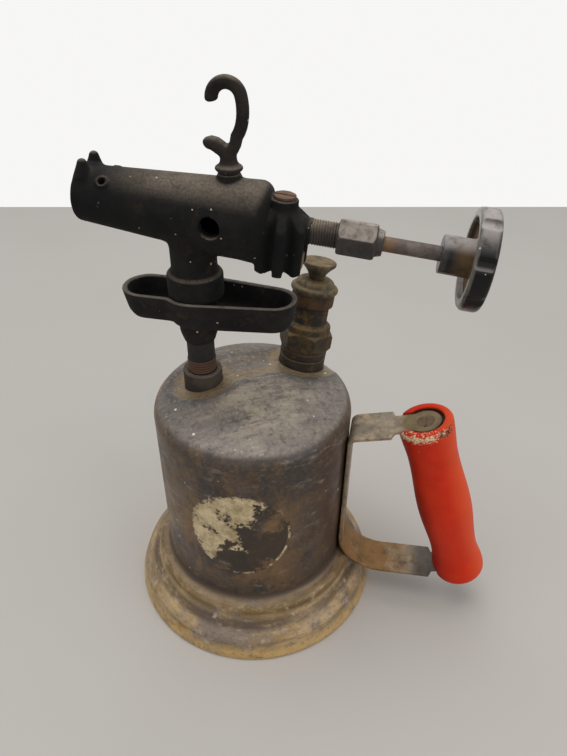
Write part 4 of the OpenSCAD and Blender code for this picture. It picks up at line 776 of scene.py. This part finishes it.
burner_iron = iron_finish("sooty_burner_iron", tone(16, 16, 16), tone(30, 28, 27), 0.9, sooted)
burner_mesh = worked(solid("burner_casting"), "cast_burner", voxel=0.45, rounds=5, filling=110, kept=open_holes)
for point in burner_mesh.vertices:
    reach = point.co / MM - burner_at
    along = reach.dot(burner_way)
    aside = reach - burner_way * along
    if neck_thread[0] < along < neck_thread[1] and neck_r < aside.length < neck_rough_r:
        point.co = (burner_at + burner_way * along + aside.normalized() * neck_r) * MM
put_in("cast_burner", burner_mesh, burner_iron, "black_iron", "torch", "burner_casting")

neck = Finish("threaded_neck_iron", 0.3)
neck.ground(tone(46, 42, 40), tone(68, 60, 54), neck.stains(160.0, 0.35, 0.65))
neck.lay(tone(26, 22, 20), neck.corners(0.02, 0.1))
neck.lay(tone(130, 116, 98), neck.dust(0.3, 1.0))
neck_iron = neck.close(neck.stains(190.0, -0.9, 1.2, seed=5.0), 0.25, 0.0003, neck.cloud(800.0, 4.0))
neck_steps = [neck_thread[0] + neck_step * k for k in range(113)]
neck_profile = [(t, neck_r + neck_cover) for t in neck_steps]
neck_profile += [(neck_steps[-1], neck_core_r), (neck_steps[0], neck_core_r)]
neck_mesh = spun("valve_neck_thread", burner_at, burner_way, neck_profile,
                 thread_lift(neck_steps[0], neck_steps[-1], skin_r=neck_r, depth=0.5, pitch=1.15))
put_in("valve_neck_thread", neck_mesh, neck_iron, "black_iron", "torch")


# Two cleaning plugs close the drilled passages, one on top of the vaporizer and one behind; the
# jet is a small brass nipple screwed in from the flame tube.
plug = Finish("rusty_plug_steel", 0.25)
plug.ground(tone(104, 78, 62), tone(66, 52, 46), plug.stains(260.0, 0.35, 0.65))
plug.lay(tone(132, 104, 84), plug.edges(0.02, 0.1))
plug.lay(tone(132, 108, 84), plug.dust(0.5, 0.95, 260.0), 0.5)
rusty_plug = plug.close(plug.stains(300.0, -1.4, 1.0, seed=5.0), 0.4, 0.0003, plug.cloud(900.0, 5.0))
rework("top_plug", "top_cleaning_plug", rusty_plug, "rusty_steel", voxel=0.25, rounds=4)
refinish(rusty_plug, "rear_plug")
refinish(turned_brass, "jet")


# The hook is a small iron casting screwed into the boss on the flame tube: a collar, a saddle for
# the soldering copper's shank and a curved arm over it.
def swept(name, spine, reaches, around=28):
    """A round bar along a spine in the plane of the hook, its ends closed."""
    rows = [spine[:1]]
    for k, (point, reach) in enumerate(zip(spine, reaches)):
        way = (spine[min(k + 1, len(spine) - 1)] - spine[max(k - 1, 0)]).normalized()
        side = Vector((0.0, 1.0, 0.0))
        over = way.cross(side)
        rows.append([point + reach * (side * math.cos(a) + over * math.sin(a))
                     for a in (2 * math.pi * step / around for step in range(around))])
    return grid_mesh(name, rows + [spine[-1:]], closed=False)


def bow(centre, radius, start, end):
    """Points along an arc of the hook's arm, in degrees from the handle's side upward."""
    step = 5
    count = max(int(abs(end - start) / step), 2)
    turns = [math.radians(start + (end - start) * k / count) for k in range(count + 1)]
    return [(centre[0] + radius * math.cos(turn), centre[1] + radius * math.sin(turn)) for turn in turns]


hook_x = -7.8
thumb_line = [(-9.9, 252.4), (-9.6, 252.6), (-8.6, 253.1), (-6.9, 253.4), (-5.1, 252.9), (-3.4, 251.8),
              (-1.6, 250.6), (0.2, 250.2), (1.8, 251.5), (3.0, 253.4)]
thumb_reach = [0.8, 1.7, 2.4, 2.8, 3.0, 3.0, 2.95, 2.85, 2.65, 2.45]
arm_line = bow((-6.0, 263.4), 12.0, -36, -17) + bow((-15.6, 266.1), 22.0, -15, 13)
arm_line += bow((0.0, 270.0), 5.9, 16, 192)
arm_reach = [2.55 + 0.1 * k / len(arm_line) for k in range(len(arm_line) - 2)] + [2.3, 1.5]
hook_line = [Vector((hook_x + x, 0.0, z)) for x, z in thumb_line + arm_line]
neck_turns = [(236.0, 2.45), (241.7, 2.45), (241.9, 4.5), (242.8, 4.7), (243.3, 5.6), (243.9, 5.85),
              (244.6, 5.6), (245.1, 4.7), (246.0, 3.7), (247.5, 3.4), (249.5, 3.3), (250.6, 2.6)]
neck_line = [Vector((hook_x, 0.0, z)) for z, reach in neck_turns]
hook_form = bmesh.new()
hook_form.from_mesh(swept("arm", hook_line, thumb_reach + arm_reach))
hook_form.from_mesh(swept("neck", neck_line, [reach for z, reach in neck_turns], 48))
hook_blank = bpy.data.meshes.new("hook_blank")
hook_form.to_mesh(hook_blank)
hook_form.free()
hook_iron = iron_finish("black_hook_iron", tone(24, 22, 21), tone(46, 41, 38), 1.0)
hook_mesh = worked(hook_blank, "cast_hook", voxel=0.32, rounds=4, filling=120)
put_in("cast_hook", hook_mesh, hook_iron, "black_iron", "torch", "iron_hook")


# The packing nut is a hexagon of nickelled brass, long worn to grey, that squeezes the packing
# round the spindle. The needle and the spindle are plain steel.
nut = Finish("worn_nut_nickel", 0.2)
nut.ground(tone(68, 62, 59), tone(46, 42, 41), nut.stains(150.0, 0.35, 0.65))
nut.lay(tone(70, 56, 44), nut.corners(0.01, 0.06))
nut.lay(tone(128, 116, 106), nut.edges(0.02, 0.1))
nut.lay(tone(178, 166, 153), nut.dust(0.55, 0.85), 0.8)
nut.lay(tone(62, 50, 42), nut.stains(210.0, 0.48, 0.62, seed=8.0), 0.55)
nut_metal = nut.close(nut.stains(220.0, -0.9, 1.3, seed=5.0), 0.3, 0.0003, nut.cloud(700.0, 5.0))
rework("packing_nut", "hex_packing_nut", nut_metal, "dull_nickel", voxel=0.25, rounds=5)

spindle = Finish("stained_spindle_steel", 0.3)
spindle.ground(tone(106, 95, 90), tone(76, 66, 62), spindle.stains(170.0, 0.38, 0.64))
spindle.lay(tone(126, 95, 64), spindle.ramp(spindle.part("X"), 0.066, 0.056),
            spindle.stains(160.0, 0.3, 0.55, seed=3.0))
spindle_gloss = spindle.stains(260.0, -0.7, 1.4, seed=5.0)
spindle_steel = spindle.close(spindle_gloss, 0.25, 0.0002, spindle.cloud(800.0, 4.0))
refinish(spindle_steel, "valve_spindle", "valve_needle")


# The handwheel is moulded black resin: eight shallow lobes round a dished web, and a long hub. It
# is glossy where fingers turn it and holds tan dust in its dish; a nut behind holds it on.
wheel = Finish("black_wheel_resin")
along, off = wheel.along(burner_at, burner_way), wheel.off(burner_at, burner_way)
wheel.ground(tone(11, 11, 12), tone(19, 18, 19), wheel.stains(90.0, 0.4, 0.66))
tan = wheel.times(wheel.ramp(along, 0.1095, 0.117), wheel.ramp(off, 0.0178, 0.015),
                  wheel.stains(110.0, 0.26, 0.56, seed=3.0))
wheel.lay(tone(106, 84, 60), tan)
wheel.lay(tone(86, 82, 82), wheel.ramp(along, 0.1105, 0.1085, 0.0, 0.45))
wheel.lay(tone(112, 107, 100), wheel.ramp(off, 0.0156, 0.0168), wheel.ramp(along, 0.1196, 0.1186),
          wheel.stains(90.0, 0.25, 0.6, seed=8.0))
wheel.lay(tone(138, 134, 130), wheel.edges(0.03, 0.13, 0.05), 0.75)
wheel_dust = wheel.dust(0.45, 1.0, 160.0)
wheel.lay(tone(178, 170, 166), wheel_dust, 0.9)
wheel.lay(tone(200, 194, 186), wheel.flecks(300.0, 0.12, 0.06))
wheel.shader["Specular IOR Level"].default_value = 0.25
wheel_gloss = wheel.ramp(wheel.reckon("MAXIMUM", tan, wheel_dust), 0.0, 1.0, 0.24, 0.75)
wheel_resin = wheel.close(wheel_gloss, 0.12, 0.0003, wheel.cloud(420.0, 4.0))
rework("handwheel", "lobed_handwheel", wheel_resin, "black_resin", voxel=0.32, rounds=6, filling=90,
       body="valve_stem")
refinish(rusty_plug, "wheel_nut")


# The pump's outside is turned brass: a bush soldered in the tank's top, a hexagon head screwed
# into it, a cap, and a knob flared like a trumpet on the rod. All of it is brown with dirt.
pump = Finish("dirty_pump_brass", 0.35)
up_pump = pump.along(pump_seat, pump_axis)
smudge = pump.stains(150.0, 0.36, 0.62)
pump.ground(tone(60, 48, 38), tone(36, 31, 27), smudge)
for foot, full, clean, dirty in ((0.0075, 0.0095, tone(84, 68, 40), tone(46, 39, 30)),
                                 (0.0215, 0.023, tone(42, 36, 28), tone(30, 27, 24)),
                                 (0.0325, 0.0345, tone(92, 62, 34), tone(54, 41, 27)),
                                 (0.0395, 0.0405, tone(110, 100, 80), tone(69, 63, 53))):
    pump.lay(pump.mixed(smudge, clean, dirty), pump.ramp(up_pump, foot, full))
pump.lay(tone(40, 32, 24), pump.corners(0.0, 0.05, 0.04))
pump.lay(tone(146, 114, 60), pump.edges(0.03, 0.12, 0.07), 0.6)
pump.lay(tone(138, 113, 66), pump.dust(0.4, 0.95, 230.0), 0.5)
pump.lay(tone(126, 94, 40), pump.stains(120.0, 0.53, 0.64, seed=9.0), 0.5)
pump.lay(tone(28, 24, 19), pump.stains(230.0, 0.5, 0.62, seed=12.0), 0.6)
pump_brass = pump.close(pump.stains(200.0, -0.9, 1.3, seed=5.0), 0.35, 0.0004, pump.cloud(650.0, 5.0))
rework("pump_bush", "turned_pump_bush", pump_brass, "pump_brass", voxel=0.3, rounds=5)
rework("pump_head", "hex_pump_head", pump_brass, "pump_brass", voxel=0.3, rounds=5)
rework("pump_cap", "turned_pump_cap", pump_brass, "pump_brass", voxel=0.3, rounds=5)
rework("pump_knob", "trumpet_knob", pump_brass, "pump_brass", voxel=0.25, rounds=5, body="plunger")


# Inside the tank the barrel hangs from the head. A steel rod carries the cup leather between its
# washer and nut, and at the foot a sprung disc lets air out into the tank but not back.
rubber = Finish("valve_rubber")
rubber_grain = rubber.cloud(900.0, 4.0)
rubber.ground(tone(34, 32, 31), tone(52, 49, 47), rubber_grain)
valve_rubber = rubber.close(rubber.ramp(rubber_grain, 0.2, 0.8, 0.6, 0.85), 0.2, 0.0002, rubber_grain)
refinish(turned_brass, "pump_barrel", "check_body", "check_keeper", "leather_washer", "plunger_nut")
refinish(spindle_steel, "pump_rod")
refinish(valve_rubber, "check_disc")
spring_mesh = solid("check_spring")
check_wire = put_in("wound_check_spring", spring_mesh, spindle_steel, "rusty_steel", "torch", "check_spring")
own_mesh(check_wire)


# The handle's bracket is one strip of brass, riveted flat against the tank and bent out at both
# ends into arms; each arm narrows to a tongue with a round pad that the grip's screw goes through.
strap = Finish("stained_strap_brass", 0.45)
height, out = strap.part("Z"), strap.part("X")
strap.ground(tone(180, 161, 134), tone(134, 123, 107), strap.stains(70.0, 0.38, 0.62))
strap.lay(tone(150, 118, 66), strap.stains(120.0, 0.55, 0.7, seed=3.0))
strap.lay(tone(138, 103, 60), strap.ramp(height, 0.075, 0.04), strap.stains(55.0, 0.3, 0.5, seed=5.0),
          strap.ramp(out, 0.098, 0.08))
strap.lay(tone(88, 76, 60), strap.edges(0.03, 0.14))
to_pad = strap.measure("DISTANCE", strap.here(), (0.0865, 0.0, 0.126))
strap.lay(tone(108, 92, 58), strap.ramp(to_pad, 0.0125, 0.0085, 0.0, 0.85))
strap.lay(tone(82, 71, 55), strap.stains(210.0, 0.5, 0.66, seed=9.0), 0.5)
strap.lay(tone(82, 80, 78), strap.ramp(height, 0.075, 0.06), strap.ramp(out, 0.09, 0.1), 0.85)
strap.lay(tone(70, 56, 40), strap.stains(90.0, 0.5, 0.62, seed=12.0, stretch=0.6), 0.5)
strap_brass = strap.close(strap.stains(120.0, -0.7, 1.3, seed=6.0), 0.2, 0.0003, strap.cloud(500.0, 5.0))
rework("handle_bracket", "bent_strap", strap_brass, "strap_brass", voxel=0.38, rounds=4)


# The grip is turned wood, recessed at the top for the strap's pad and painted red over cream; the
# paint is knocked off along the top rim. One long screw and a nut hold it between the arms.
grip_top = Vector((87.0, 0.0, 128.3))
grip_down = Vector((0.312335, 0.0, -0.949972))
grip = Finish("red_grip_paint")
depth, out = grip.along(grip_top, grip_down), grip.part("X")
across = grip.reckon("SUBTRACT", out, grip.times(depth, grip_down.x))
grip.ground(tone(214, 51, 17), tone(196, 40, 15), grip.stains(35.0, 0.35, 0.65))
grip.lay(tone(150, 36, 24), grip.stains(260.0, 0.66, 0.72, seed=4.0))
# Painted shade: deep red on the side toward the tank, broken up by stains.
grip.lay(tone(108, 22, 18), grip.ramp(across, 0.083, 0.074), grip.stains(60.0, 0.2, 0.6, seed=8.0), 0.8)
# Painted highlight: lighter orange on the side away from the tank.
grip.lay(tone(226, 88, 40), grip.ramp(across, 0.0905, 0.1, 0.0, 0.65))
rim_wear = grip.times(grip.ramp(depth, 0.0068, 0.0024), grip.ramp(grip.part("Y"), 0.002, -0.009),
                      grip.ramp(depth, 0.0, 0.0016, 0.5, 1.0), 0.22)
chipped = grip.ramp(grip.reckon("ADD", rim_wear, grip.cloud(900.0, 8.0, 0.72)), 0.66, 0.7)
rubbed_through = grip.times(grip.edges(0.05, 0.1, 0.14), grip.ramp(depth, 0.012, 0.004))
chipped = grip.reckon("MAXIMUM", chipped, rubbed_through)
grip.lay(tone(224, 206, 168), chipped)
burnt = grip.reckon("ADD", grip.cloud(420.0, 6.0, 0.7), grip.ramp(out, 0.088, 0.098, -0.2, 0.12))
grip.lay(tone(62, 54, 46), chipped, grip.ramp(burnt, 0.5, 0.54))
grip.lay(tone(226, 206, 176), grip.flecks(280.0, 0.14, 0.03))
grip.lay(tone(64, 44, 33), grip.ramp(grip.off(grip_top, grip_down), 0.0106, 0.0099),
         grip.ramp(depth, 0.0004, 0.0016))
grip.shader["Specular IOR Level"].default_value = 0.15
grip_paint = grip.close(grip.ramp(chipped, 0.0, 1.0, 0.5, 0.8), 0.25, 0.0003,
                        grip.reckon("SUBTRACT", grip.cloud(160.0, 3.0), chipped))
rework("handle_grip", "turned_grip", grip_paint, "red_paint", voxel=0.45, rounds=6)
rework("handle_screw", "slotted_grip_screw", rusty_plug, "rusty_steel", voxel=0.25, rounds=3, filling=160)
refinish(rusty_plug, "handle_nut")
